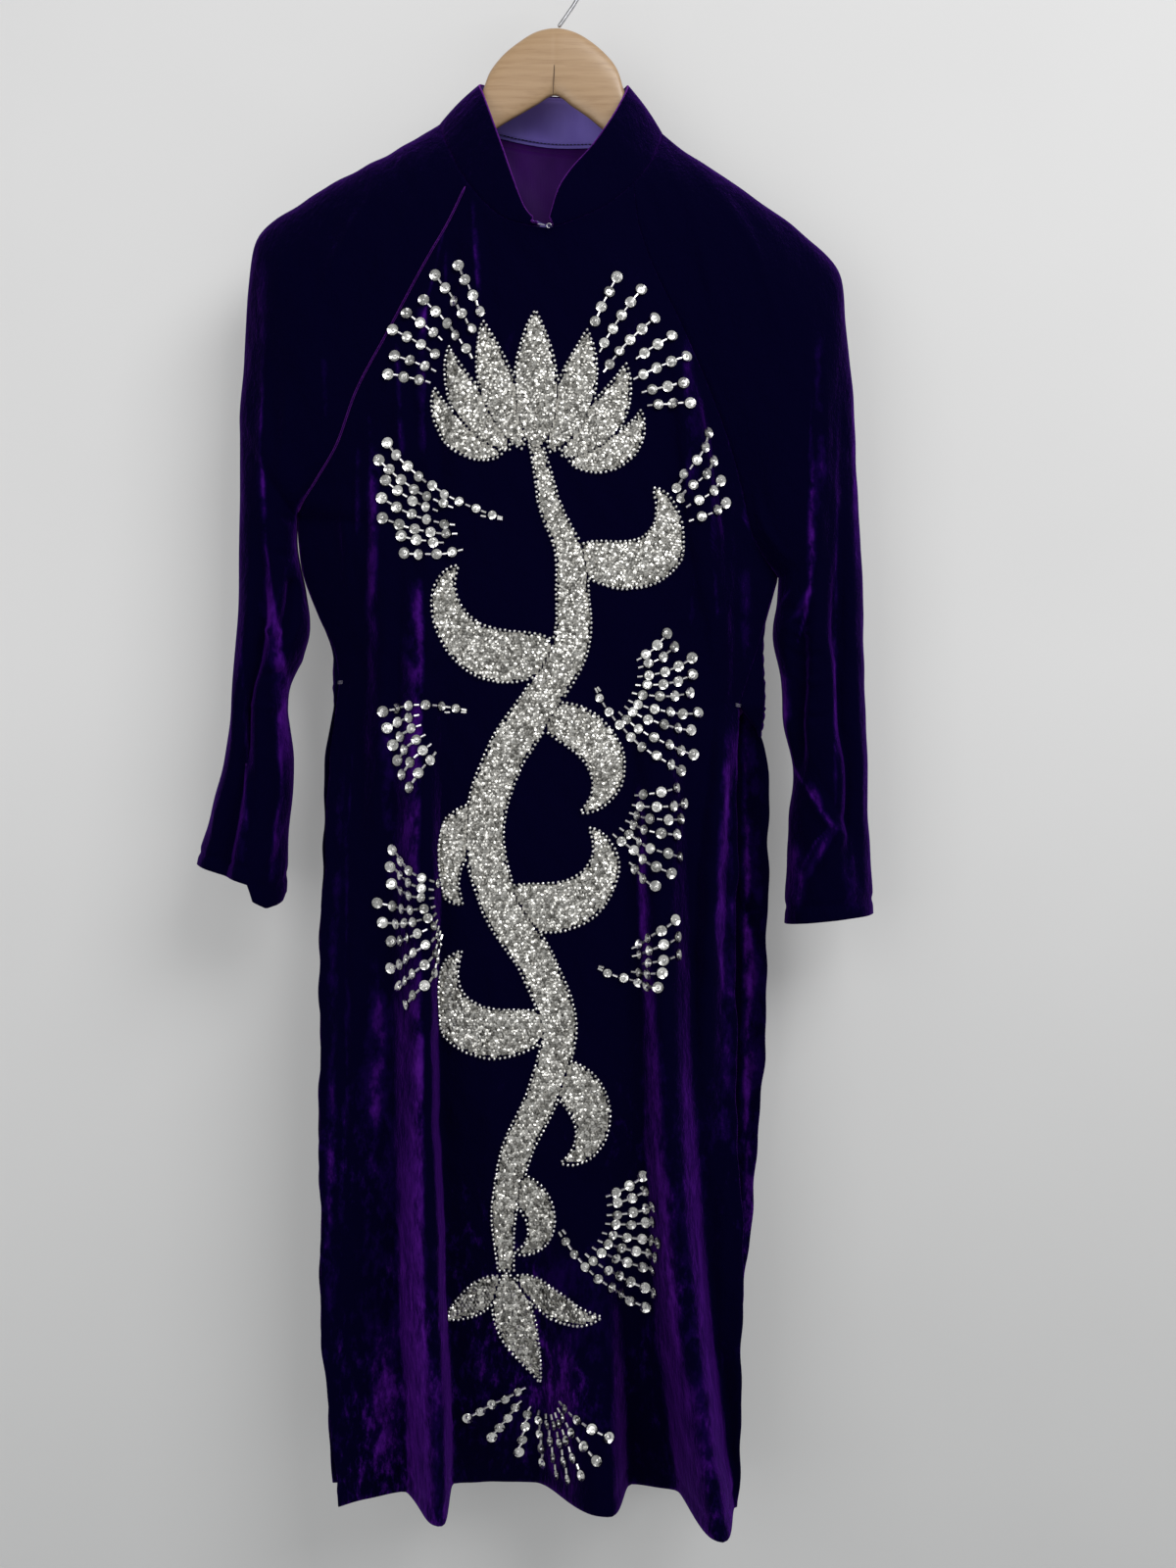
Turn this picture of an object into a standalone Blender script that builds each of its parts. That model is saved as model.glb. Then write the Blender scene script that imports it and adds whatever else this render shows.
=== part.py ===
# A long-sleeved velvet tunic with side slits (an ao dai) on a wooden hanger.
# Metres, +Z up, front faces -Y. The origin is the inner top of the hanger's hook, where a rail holds it.
# Left and right in names are the wearer's, so the right sleeve is at -X, on the viewer's left.
import math

import bpy
import numpy as np

mm = 0.001

# Sizes of the cloth
cloth_wall = 1.6 * mm
lining_wall = 1.0 * mm
seam_gap = 0.4 * mm
neck_gap = 0.7 * mm
armpit_gap = 2.5 * mm
layer_gap = 0.3 * mm
collar_layer_gap = 0.7 * mm
neck_blend = 90 * mm
slit_top = -572 * mm

# Counts that set how fine the grids are
raglan_steps = 10
side_steps = 5
skirt_steps = 20
front_columns = 38
back_columns = 24
sleeve_columns = 24
tube_steps = 17
collar_columns = 34

# The collar's lining starts at this share of the collar's lower half and ends at this one of its upper
collar_lining_ends = (0.12, 0.90)
# The lining that shows through the neck: rows of the back panel that it covers, columns that it leaves
# out at each side, and how far it starts below the neckline as a share of one row
neck_lining_rows = 6
neck_lining_inset = 3
neck_lining_drop = 0.25

# Points used to follow each curve before they are spaced evenly
neck_samples = 400
row_samples = 500
# Height over which the slits' edges come free of the side seams
slit_fade = 60 * mm
# Share of the raglan seams where the sleeve starts to close, and the shares along the tube, counted
# upwards from the armpit, that the seams' length stands for
closing_start = 0.6
shoulder_share = -0.7
# Share of a sleeve fold's length over which each end fades
fold_fade = 0.25
# Least cosine between a wall and its seam's middle line
least_lean = 0.5
# Shares of the collar's height that its points lie at
collar_rises = (0.0, 0.5, 1.0)

# Sizes of the hanger
wire_radius = 1.6 * mm
hook_radius = 20.7 * mm + wire_radius
hanger_half_thickness = 6.0 * mm
hanger_roundness = 2.6
hanger_sections = 44

# The collar, a row for each place round the neck from the front's wearer's-right end, over the right
# shoulder and the back to the other front end, in mm. Columns: foot x, y, z, then top edge x, y, z.
collar_rows = (
    (-11, -50, -228, -17, -51, -221),
    (-25, -49, -225, -24, -49, -210),
    (-41, -46, -218, -32, -44, -188),
    (-56, -40, -203, -40, -36, -163),
    (-71, -33, -182, -48, -27, -139),
    (-84, -20, -154, -56, -13, -114),
    (-90, 0, -132, -60, 2, -101),
    (-82, 18, -128, -54, 16, -97),
    (-61, 31, -129, -37, 26, -97),
    (-33, 38, -134, -17, 33, -98),
    (-5, 40, -138, 1, 35, -99),
    (24, 38, -139, 22, 33, -100),
    (51, 31, -139, 39, 26, -101),
    (73, 18, -138, 53, 15, -101),
    (84, 0, -139, 58, 1, -102),
    (79, -19, -160, 54, -13, -116),
    (68, -31, -181, 44, -27, -138),
    (54, -38, -197, 29, -36, -162),
    (37, -44, -211, 14, -43, -181),
    (18, -48, -221, 4, -48, -198),
    (0, -50, -228, -3, -51, -221),
)
# Rows of the collar table where the raglan seams and the shoulder lines start.
right_front_seam_row = 3.7
right_shoulder_row = 6.0
right_back_seam_row = 8.0
left_back_seam_row = 12.0
left_shoulder_row = 14.0
left_front_seam_row = 16.5

# The shoulder part of each sleeve, a row for each section from neck to armpit, in mm.
# Columns: front seam x, y, z, shoulder line x, y, z, back seam x, y, z, bow.
right_shoulder_rows = (
    (-67, -35, -188, -90, 0, -132, -61, 31, -129, 0),
    (-81, -37, -219, -109, 0, -144, -83, 33, -170, 3),
    (-96, -38, -246, -128, 0, -155, -103, 33, -217, 4),
    (-127, -38, -304, -196, 0, -194, -136, 32, -285, 6),
    (-152, -34, -349, -232, 0, -222, -160, 30, -334, 8),
    (-168, -29, -390, -241, 0, -266, -175, 25, -379, 11),
    (-185, -21, -416, -244, 0, -320, -190, 16, -410, 15),
    (-200, -11, -438, -247, 0, -366, -201, 1, -437, 20),
    (-202, -5, -443, -247, 0, -376, -202, -5, -443, 21),
)
left_shoulder_rows = (
    (60, -35, -190, 84, 0, -139, 51, 31, -139, 0),
    (64, -37, -221, 103, 0, -155, 65, 33, -178, 3),
    (73, -38, -248, 122, 0, -168, 77, 33, -223, 4),
    (99, -38, -302, 187, 0, -213, 103, 32, -284, 6),
    (118, -34, -345, 223, 0, -247, 122, 30, -330, 8),
    (134, -30, -386, 229, 0, -289, 138, 25, -375, 11),
    (144, -26, -420, 232, 0, -335, 147, 18, -413, 15),
    (155, -20, -462, 236, 0, -392, 157, 6, -460, 20),
    (175, -6, -490, 239, 0, -466, 175, -6, -490, 23),
)

# The closed part of each sleeve, a row for each section from armpit to cuff, in mm.
# Columns: inner edge x, y, z, outer edge x, y, z, bow.
right_tube_rows = (
    (-202, -5, -443, -247, 0, -376, 21),
    (-203.5, -3, -467, -248, 0, -413, 24),
    (-199.5, 0, -500, -249, 0, -465, 27),
    (-194.5, 0, -535, -249, 0, -524, 30),
    (-199, 0, -556, -250, 0, -551, 29),
    (-208, 0, -573, -252, 0, -577, 28),
    (-206, 0, -633, -260, 0, -630, 30),
    (-208, 0, -680, -270, 0, -677, 32),
    (-210, 0, -736, -280, 0, -713, 32),
)
left_tube_rows = (
    (175, -6, -490, 239, 0, -466, 23),
    (174, -3, -510, 241, 0, -497, 26),
    (171, 0, -538, 242, 0, -540, 29),
    (177, 0, -567, 243, 0, -574, 28),
    (179, 0, -605, 244, 0, -609, 29),
    (187, 0, -640, 246, 0, -640, 30),
    (184, 0, -680, 247, 0, -680, 31),
    (180, 0, -760, 251, 0, -752, 32),
)

# Side seams from the armpit to the top of the slit, a row for each height, in mm.
# Columns: right seam x, y, z, left seam x, y, z.
side_seam_rows = (
    (-202, -5, -443, 175, -6, -490),
    (-200.5, -8, -462, 171, -7, -504),
    (-197.5, -8, -485, 167, -7, -518),
    (-185, -9, -519, 161, -8, -538),
    (-172, -11, -547, 153, -10, -563),
    (-168, -12, -572, 144, -12, -590),
)
# Slit edges from the top of the slit to the hem, in mm.
# Columns: front's right edge x, y, z, front's left edge x, y, z.
front_slit_rows = (
    (-168, -12, -572, 144, -12, -590),
    (-173, -17, -620, 143, -17, -632),
    (-177, -24, -696, 141, -24, -701),
    (-180, -29, -800, 140, -29, -800),
    (-180, -33, -900, 140, -33, -900),
    (-179, -36, -964, 143, -36, -970),
    (-177, -40, -1057, 144, -40, -1055),
    (-172, -44, -1120, 142, -44, -1120),
    (-162, -48, -1200, 140, -48, -1200),
)
# Columns: back's right edge x, y, z, back's left edge x, y, z.
back_slit_rows = (
    (-168, -12, -572, 144, -12, -590),
    (-177, 3, -605, 163, 2, -615),
    (-184, 14, -698, 168, 13, -702),
    (-187, 20, -800, 168, 18, -800),
    (-188, 22, -900, 164, 20, -900),
    (-188, 24, -977, 157, 22, -983),
    (-187, 26, -1076, 149, 24, -1071),
    (-183, 27, -1140, 144, 25, -1140),
    (-178, 28, -1210, 139, 26, -1210),
)

# Where the middle of each panel lies from front to back, in mm, before its folds.
# Columns: z, front's y, back's y.
belly_rows = (
    (-190, -45, 39),
    (-300, -48, 38),
    (-400, -48, 36),
    (-440, -47.5, 33),
    (-500, -46.5, 29),
    (-570, -44, 25),
    (-620, -44, 28),
    (-700, -44, 30),
    (-800, -44, 32),
    (-900, -40, 33),
    (-1000, -27.5, 34),
    (-1100, -12.5, 36),
    (-1225, 7, 38),
)
belly_power = 2.6
# How far the back panel wraps round past the side seam onto the front, in mm. Columns: z, width on
# the wearer's right, width on the wearer's left.
wrap_rows = (
    (-440, 0, 0),
    (-480, 1, 1),
    (-520, 8, 9),
    (-540, 11, 15),
    (-563, 15, 23),
    (-575, 16, 28),
    (-590, 10, 33),
    (-604, 4, 20),
    (-620, 0, 4),
    (-635, 0, 0),
)
wrap_share = 0.08
mask_share = 0.07

# How flat a fold's crest is: 1 is a plain wave, and more is a broader crest with steeper flanks.
crest_roundness = 1.35
# The largest folds. Each has a row for each height it passes, in mm.
# Columns: z, x of its crest, width of its right flank and of its left flank, depth, and how far its
# crest leans to +X.
front_folds = (
    # Ridge beside the right edge that turns under along its inner side
    (
        (-430, -104, 24, 22, 0, 0),
        (-560, -103, 24, 22, 9, 0),
        (-700, -100, 26, 16, 20, 3),
        (-850, -99, 26, 13, 34, 5),
        (-1000, -96, 27, 12, 52, 7),
        (-1210, -90, 27, 12, 80, 9),
    ),
    # Soft fold below the right armpit
    (
        (-400, -130, 14, 14, 0, 0),
        (-500, -131, 15, 15, 7, 0),
        (-640, -134, 16, 16, 6, 0),
        (-760, -137, 16, 16, 0, 0),
    ),
    # Wide fold that opens at the middle of the hem
    (
        (-960, 28, 40, 24, 0, 0),
        (-1080, 33, 48, 24, 22, 2),
        (-1210, 37, 54, 24, 72, 4),
    ),
    # Long ridge on the left half
    (
        (-540, 74, 20, 22, 0, 0),
        (-650, 80, 22, 22, 12, 0),
        (-800, 84, 22, 24, 24, 0),
        (-930, 90, 23, 24, 34, 0),
        (-1060, 99, 24, 24, 50, 2),
        (-1210, 119, 24, 22, 84, 3),
    ),
    # Fold that falls from the left slit's tack
    (
        (-560, 136, 10, 10, 0, 0),
        (-630, 131, 13, 13, 9, 0),
        (-720, 122, 14, 13, 10, 0),
        (-860, 117, 14, 13, 8, 0),
        (-960, 117, 14, 13, 0, 0),
    ),
    # Crease from the right shoulder over the chest
    (
        (-215, -64, 10, 10, 0, 0),
        (-300, -66, 14, 14, 6, 0),
        (-400, -72, 16, 16, 5, 0),
        (-470, -76, 16, 16, 0, 0),
    ),
    # Crease from the left shoulder down to the waist
    (
        (-300, 92, 10, 10, 0, 0),
        (-380, 106, 14, 14, 7, 0),
        (-500, 122, 16, 14, 8, 0),
        (-590, 134, 10, 10, 0, 0),
    ),
)
back_folds = (
    (
        (-560, -116, 34, 34, 0, 0),
        (-800, -122, 38, 36, 10, 0),
        (-1225, -126, 40, 38, 26, 0),
    ),
    (
        (-470, -38, 30, 34, 0, 0),
        (-750, -44, 36, 38, 9, 0),
        (-1225, -46, 40, 42, 22, 0),
    ),
    (
        (-620, 34, 32, 30, 0, 0),
        (-900, 34, 38, 36, 12, 0),
        (-1225, 36, 42, 40, 30, 0),
    ),
    (
        (-520, 108, 28, 26, 0, 0),
        (-850, 108, 32, 28, 10, 0),
        (-1225, 104, 34, 30, 21, 0),
    ),
)

# Folds along the sleeves. Columns: share of the tube's length where it starts and where it ends, place
# round the tube at each (-1 inner edge by the front, 0 outer edge, 1 inner edge by the back), half width
# in the same unit, and depth in mm (inward when it is above 0).
right_sleeve_folds = (
    (0.10, 1.20, -0.46, -0.34, 0.15, 13),
    (0.25, 1.20, 0.42, 0.50, 0.16, 11),
    (0.20, 0.44, -0.80, -0.62, 0.12, 8),
)
left_sleeve_folds = (
    (-0.10, 0.95, -0.36, -0.34, 0.13, 10),
    (0.10, 0.62, -0.62, -0.86, 0.13, 9),
    (0.15, 1.20, 0.48, 0.42, 0.16, 11),
)

# The bare middle of the hanger, a row for each place across, in mm. Columns: x, top z, under z.
hanger_rows = (
    (-128, -160, -186),
    (-108, -150, -175),
    (-90, -140, -165),
    (-74, -126, -156),
    (-63, -114, -149),
    (-57, -107, -145),
    (-51, -92, -140),
    (-41, -79, -133),
    (-29, -69, -126),
    (-15, -60.5, -118),
    (0, -57.5, -110),
    (14, -60, -119),
    (27, -67, -128),
    (40, -78, -139),
    (49, -90, -146),
    (55, -108, -150),
    (61, -118, -154),
    (70, -131, -160),
    (84, -149, -169),
    (102, -160.5, -181),
    (122, -173, -196),
)
# Places further out, where the arms carry the sleeves, in mm.
# Columns: distance across, arm height, and how far below the sleeve's inside it lies.
arm_rows = (
    (140, 26, 0),
    (156, 25, 0),
    (172, 24, 0),
    (188, 23, 0),
    (200, 22, 0),
    (208, 19, 1.5),
    (214, 12, 4),
)
slope_step = 1.0 * mm
hanger_sides = 16
# The table's places nearer than this to the arms' are left out.
arm_gap = 8 * mm

# Place of the wire's two bends below the hook's ring, in mm. Columns: x, z.
hook_stem_rows = (
    (2.7, -56.4),
    (5.5, -52.5),
    (10.0, -46.0),
    (14.5, -39.5),
)
hook_sections = 24
wire_sides = 10
hook_start_angle = math.radians(-38)
hook_end_angle = math.radians(205)

# Colours, roughness and metallic value of each material
material_rows = {
    "velvet": ((0.035, 0.010, 0.085), 0.75, 0.0),
    "violet_satin": ((0.060, 0.045, 0.220), 0.35, 0.0),
    "purple_satin": ((0.030, 0.008, 0.110), 0.38, 0.0),
    "pale_wood": ((0.580, 0.400, 0.220), 0.50, 0.0),
    "chrome": ((0.780, 0.780, 0.790), 0.18, 1.0),
}


def clear_scene():
    for item in list(bpy.data.objects):
        bpy.data.objects.remove(item, do_unlink=True)


def make_material(name):
    colour, roughness, metallic = material_rows[name]
    material = bpy.data.materials.new(name)
    material.use_nodes = True
    shader = material.node_tree.nodes["Principled BSDF"]
    shader.inputs["Base Color"].default_value = (*colour, 1.0)
    shader.inputs["Roughness"].default_value = roughness
    shader.inputs["Metallic"].default_value = metallic
    material.diffuse_color = (*colour, 1.0)
    return material


def spline(knots, values, at):
    # A curve through the rows of values that leaves each row along the line between its neighbours.
    knots = np.asarray(knots, float)
    values = np.asarray(values, float)
    slopes = np.gradient(values, knots, axis=0)
    at = np.clip(np.asarray(at, float), knots[0], knots[-1])
    index = np.clip(np.searchsorted(knots, at, side="right") - 1, 0, len(knots) - 2)
    span = knots[index + 1] - knots[index]
    share = ((at - knots[index]) / span)[..., None]
    span = span[..., None]
    start, end = values[index], values[index + 1]
    from_start = slopes[index] * span
    from_end = slopes[index + 1] * span
    return (
        (2 * share**3 - 3 * share**2 + 1) * start
        + (share**3 - 2 * share**2 + share) * from_start
        + (3 * share**2 - 2 * share**3) * end
        + (share**3 - share**2) * from_end
    )


def row_lengths(rows):
    # Distance from the first row to each row, along the mean of all the points that a row holds.
    points = np.asarray(rows, float)
    points = points[:, : points.shape[1] // 3 * 3].reshape(len(points), -1, 3)
    steps = np.linalg.norm(np.diff(points, axis=0), axis=2).mean(axis=1)
    return np.concatenate([[0.0], np.cumsum(steps)])


def table_curve(rows, steps):
    # The table's columns at evenly spaced places along it, in metres.
    lengths = row_lengths(rows)
    return spline(lengths, rows, np.linspace(0, lengths[-1], steps + 1)) * mm


def at_height(rows, z):
    # The columns after the first, where the first column is a height that falls down the table.
    table = np.asarray(rows, float)[::-1]
    columns = [np.interp(z / mm, table[:, 0], table[:, k]) for k in range(1, table.shape[1])]
    return [column * mm for column in columns]


def even_points(points, count):
    # The same line with evenly spaced points, and their places as shares of the line's length.
    steps = np.linalg.norm(np.diff(points, axis=0), axis=1)
    lengths = np.concatenate([[0.0], np.cumsum(steps)])
    places = np.linspace(0, lengths[-1], count)
    return np.stack([np.interp(places, lengths, points[:, k]) for k in range(3)], axis=1)


def neck_curve(first, last, count):
    # The neckline between two rows of the collar table. Rows below 0 and above the last one carry on
    # round the loop, so the front's neckline can cross the middle.
    foot = np.asarray(collar_rows, float)[:, :3]
    loop = np.concatenate([foot[-5:], foot, foot[:5]])
    knots = np.arange(-5, len(foot) + 5, dtype=float)
    fine = spline(knots, loop, np.linspace(first, last, neck_samples)) * mm
    return even_points(fine, count)


def smooth_step(share):
    share = np.clip(share, 0, 1)
    return share * share * (3 - 2 * share)


def fold_bulge(x, z, fold):
    # Depth and lean of one fold at each x and z: a hump with a width of its own on each side.
    crest, right_width, left_width, depth, lean = at_height(fold, z)
    width = np.where(x < crest, right_width, left_width)
    from_crest = np.clip(np.abs(x - crest) / width, 0, 1)
    hump = np.cos(from_crest**crest_roundness * math.pi / 2) ** 2
    return depth * hump, lean * hump


def panel_grid(right_edge, left_edge, folds, side, columns, neck, wraps):
    # A panel between two edges: each row is the line between them, drawn to the middle's depth and folded,
    # with its points then spaced evenly along the cloth. side is -1 on the front and 1 on the back.
    share = np.linspace(0, 1, row_samples)
    rows = []
    for right, left in zip(right_edge, left_edge):
        line = right + (left - right) * share[:, None]
        z = line[:, 2]
        depth = at_height(belly_rows, z)[0 if side < 0 else 1]
        line[:, 1] += (depth - line[:, 1]) * (1 - np.abs(2 * share - 1) ** belly_power)
        from_edge = np.minimum(share, 1 - share)
        free = smooth_step((slit_top - z) / slit_fade)
        mask = np.maximum(smooth_step(from_edge / mask_share), free)
        crossing = line[:, 0].copy()
        for fold in folds:
            depth, lean = fold_bulge(crossing, z, fold)
            line[:, 1] += side * depth * mask
            line[:, 0] += lean * mask
        if wraps:
            right_width, left_width = at_height(wrap_rows, z)
            line[:, 0] -= right_width * np.sin(np.clip(share / wrap_share, 0, 1) * math.pi)
            line[:, 0] += left_width * np.sin(np.clip((1 - share) / wrap_share, 0, 1) * math.pi)
        rows.append(even_points(line, columns + 1))
    grid = np.array(rows)
    down = np.linalg.norm(np.diff(grid.mean(axis=1), axis=0), axis=1)
    down = np.concatenate([[0.0], np.cumsum(down)])
    fade = np.clip(1 - down / neck_blend, 0, 1) ** 2
    return grid + fade[:, None, None] * (neck - grid[0])


def sleeve_grid(shoulder_rows, tube_rows, folds, neck):
    # A sleeve: open sections between the two raglan seams down to the armpit, then closed ones.
    # place runs from -1 at the front seam, over 0 at the shoulder line, to 1 at the back seam.
    shoulder = table_curve(shoulder_rows, raglan_steps)
    tube = table_curve(tube_rows, tube_steps)[1:]
    place = np.linspace(-1, 1, sleeve_columns + 1)
    is_front = (place < 0)[None, :, None]
    turn = np.abs(place)[None, :, None] * math.pi

    seam = np.where(is_front, shoulder[:, None, 0:3], shoulder[:, None, 6:9])
    ridge = shoulder[:, None, 3:6]
    bow = shoulder[:, None, 9:10]
    quarter = 1 - np.cos(turn / 2)
    half = (1 - np.cos(turn)) / 2
    closing = (np.linspace(0, 1, raglan_steps + 1) - closing_start) / (1 - closing_start)
    closing = smooth_step(closing)[:, None, None]
    across = quarter * (1 - closing) + half * closing
    top = ridge + (seam - ridge) * across
    sway = np.sin(turn / 2) * (1 - closing) + half * closing
    top[..., 1] = (ridge + (seam - ridge) * sway)[..., 1]
    side = np.where(is_front, -1.0, 1.0)
    top[..., 1] += (side * bow * np.sin(turn))[..., 0]

    inner = tube[:, None, 0:3]
    outer = tube[:, None, 3:6]
    low = outer + (inner - outer) * half
    low[..., 1] += (side * tube[:, None, 6:7] * np.sin(turn))[..., 0]
    along = np.linspace(0, 1, tube_steps + 1)[1:, None]
    grid = np.concatenate([top, low])

    # Folds push in towards the middle of the tube.
    shares = np.concatenate([np.linspace(shoulder_share, 0, raglan_steps + 1)[:, None], along])
    middle = (grid[:, sleeve_columns // 2] + grid[:, 0]) / 2
    inward = middle[:, None] - grid
    inward /= np.linalg.norm(inward, axis=2, keepdims=True)
    for start, end, first_place, last_place, width, depth in folds:
        run = (shares - start) / (end - start)
        centre = first_place + (last_place - first_place) * np.clip(run, 0, 1)
        window = smooth_step(run / fold_fade) * smooth_step((1 - run) / fold_fade)
        dip = np.cos(np.clip((place[None, :] - centre) / width, -1, 1) * math.pi / 2) ** 2
        grid = grid + inward * (dip * window * depth * mm)[..., None]

    down = np.linalg.norm(np.diff(grid[:, sleeve_columns // 2], axis=0), axis=1)
    down = np.concatenate([[0.0], np.cumsum(down)])
    fade = np.clip(1 - down / neck_blend, 0, 1) ** 2
    return grid + fade[:, None, None] * (neck - grid[0])


def sleeve_neck(front_row, shoulder_row, back_row):
    # The neckline of one sleeve, with its shoulder point at the middle.
    count = sleeve_columns // 2 + 1
    front = neck_curve(front_row, shoulder_row, count)
    back = neck_curve(shoulder_row, back_row, count)
    return np.concatenate([front, back[1:]])


def grid_normals(grid, closed_from=None):
    along = np.gradient(grid, axis=0)
    across = np.gradient(grid, axis=1)
    if closed_from is not None:
        across[closed_from:, [0, -1]] = (grid[closed_from:, 1] - grid[closed_from:, -2])[:, None] / 2
    normal = np.cross(along, across)
    return normal / np.linalg.norm(normal, axis=2, keepdims=True)


def trim_edge(grid, rows, column, distance):
    # Moves part of one edge back along its own rows, which opens the gap of a seam.
    beside = 1 if column == 0 else -2
    step = grid[rows, beside] - grid[rows, column]
    grid[rows, column] += step / np.linalg.norm(step, axis=1, keepdims=True) * distance


def join_normals(first, second):
    # Where two pieces meet, both walls lean along the line halfway between them, so neither crosses.
    shared = first + second
    shared /= np.linalg.norm(shared, axis=1, keepdims=True)
    for normals in (first, second):
        lean = np.sum(shared * normals, axis=1, keepdims=True)
        normals[:] = shared / np.maximum(lean, least_lean)


def mesh_object(name, points, smooth_faces, flat_faces, material):
    mesh = bpy.data.meshes.new(name)
    mesh.from_pydata(points.tolist(), [], smooth_faces + flat_faces)
    shading = [True] * len(smooth_faces) + [False] * len(flat_faces)
    mesh.polygons.foreach_set("use_smooth", shading)
    mesh.update()
    mesh.materials.append(material)
    item = bpy.data.objects.new(name, mesh)
    bpy.context.collection.objects.link(item)
    return item


def strip_faces(first, second):
    # Four-cornered faces between two lines of point numbers.
    corners = (first[:-1], second[:-1], second[1:], first[1:])
    return np.stack(corners, axis=-1).reshape(-1, 4).tolist()


def cloth_from_grid(name, outer, normals, wall, material, closed_from=None):
    # A sheet of cloth: the outer face, the same face one wall further in, and rims along the open edges.
    # From row closed_from on, the first and last columns are one and the same line.
    rows, columns = outer.shape[:2]
    inner = outer - normals * wall
    index = np.arange(rows * columns).reshape(rows, columns)
    if closed_from is not None:
        index[closed_from:, -1] = index[closed_from:, 0]
    used, index = np.unique(index, return_inverse=True)
    index = index.reshape(rows, columns)
    points = np.concatenate([outer.reshape(-1, 3)[used], inner.reshape(-1, 3)[used]])
    below = index + len(used)
    corners = (index[:-1, :-1], index[1:, :-1], index[1:, 1:], index[:-1, 1:])
    faces = np.stack(corners, axis=-1).reshape(-1, 4)
    smooth_faces = faces.tolist() + (faces[:, ::-1] + len(used)).tolist()
    open_rows = slice(0, rows if closed_from is None else closed_from + 1)
    rims = [face[::-1] for face in strip_faces(index[0], below[0])]
    rims += strip_faces(index[-1], below[-1])
    rims += strip_faces(index[open_rows, 0], below[open_rows, 0])
    rims += [face[::-1] for face in strip_faces(index[open_rows, -1], below[open_rows, -1])]
    return mesh_object(name, points, smooth_faces, rims, material)


def body_from_rings(name, rings, material):
    # A solid bar through rings of equal count, with a flat cap on each end.
    count = rings.shape[1]
    index = np.arange(rings.shape[0] * count).reshape(rings.shape[0], count)
    around = np.concatenate([index, index[:, :1]], axis=1)
    corners = (around[:-1, :-1], around[:-1, 1:], around[1:, 1:], around[1:, :-1])
    sides = np.stack(corners, axis=-1).reshape(-1, 4).tolist()
    caps = [index[0][::-1].tolist(), index[-1].tolist()]
    return mesh_object(name, rings.reshape(-1, 3), sides, caps, material)


def sleeve_shapes():
    shapes = (
        (
            "right_sleeve",
            right_shoulder_rows,
            right_tube_rows,
            right_sleeve_folds,
            (right_front_seam_row, right_shoulder_row, right_back_seam_row),
        ),
        (
            "left_sleeve",
            left_shoulder_rows,
            left_tube_rows,
            left_sleeve_folds,
            (left_front_seam_row, left_shoulder_row, left_back_seam_row),
        ),
    )
    grids = {}
    for name, shoulder_rows, tube_rows, folds, neck_rows in shapes:
        neck = sleeve_neck(*neck_rows) - np.array([0, 0, neck_gap])
        grids[name] = sleeve_grid(shoulder_rows, tube_rows, folds, neck)
    return grids


def panel_shapes(sleeves):
    # The front and back, whose edges are the sleeves' seam lines down to the armpit.
    side_seam = table_curve(side_seam_rows, side_steps)
    shapes = (
        ("front_panel", front_slit_rows, 0, front_folds, -1, front_columns),
        ("back_panel", back_slit_rows, -1, back_folds, 1, back_columns),
    )
    grids = {}
    for name, slit_rows, seam_column, folds, side, columns in shapes:
        slit = table_curve(slit_rows, skirt_steps)[1:]
        edges = []
        for sleeve, place in (("right_sleeve", slice(0, 3)), ("left_sleeve", slice(3, 6))):
            raglan = sleeves[sleeve][:raglan_steps, seam_column]
            edges.append(np.concatenate([raglan, side_seam[:, place], slit[:, place]]))
        if side < 0:
            neck = neck_curve(right_front_seam_row, left_front_seam_row - len(collar_rows), columns + 1)
        else:
            neck = neck_curve(right_back_seam_row, left_back_seam_row, columns + 1)
        neck = neck - np.array([0, 0, neck_gap])
        grids[name] = panel_grid(edges[0], edges[1], folds, side, columns, neck, side > 0)
    return grids


def build_body(velvet):
    sleeves = sleeve_shapes()
    panels = panel_shapes(sleeves)
    # Each grid's columns run so that its faces look outward.
    grids = {
        "front_panel": panels["front_panel"],
        "back_panel": panels["back_panel"][:, ::-1].copy(),
        "right_sleeve": sleeves["right_sleeve"][:, ::-1].copy(),
        "left_sleeve": sleeves["left_sleeve"],
    }
    # The two edges of each seam. Columns: piece, its edge column, then the other piece and its edge.
    raglan = slice(0, raglan_steps)
    side_seam = slice(raglan_steps, raglan_steps + side_steps + 1)
    seams = (
        ("front_panel", 0, "right_sleeve", -1, raglan),
        ("front_panel", -1, "left_sleeve", 0, raglan),
        ("back_panel", -1, "right_sleeve", 0, raglan),
        ("back_panel", 0, "left_sleeve", -1, raglan),
        ("front_panel", 0, "back_panel", -1, side_seam),
        ("front_panel", -1, "back_panel", 0, side_seam),
    )
    for first, first_edge, second, second_edge, rows in seams:
        trim_edge(grids[first], rows, first_edge, seam_gap / 2)
        trim_edge(grids[second], rows, second_edge, seam_gap / 2)
    armpit = slice(raglan_steps, raglan_steps + 1)
    for panel in panels:
        for edge in (0, -1):
            trim_edge(grids[panel], armpit, edge, armpit_gap)
    normals = {}
    for name, grid in grids.items():
        normals[name] = grid_normals(grid, raglan_steps if name in sleeves else None)
    for first, first_edge, second, second_edge, rows in seams:
        join_normals(normals[first][rows, first_edge], normals[second][rows, second_edge])
    for name, grid in grids.items():
        closed_from = raglan_steps if name in sleeves else None
        cloth_from_grid(name, grid, normals[name], cloth_wall, velvet, closed_from)
    return grids


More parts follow.
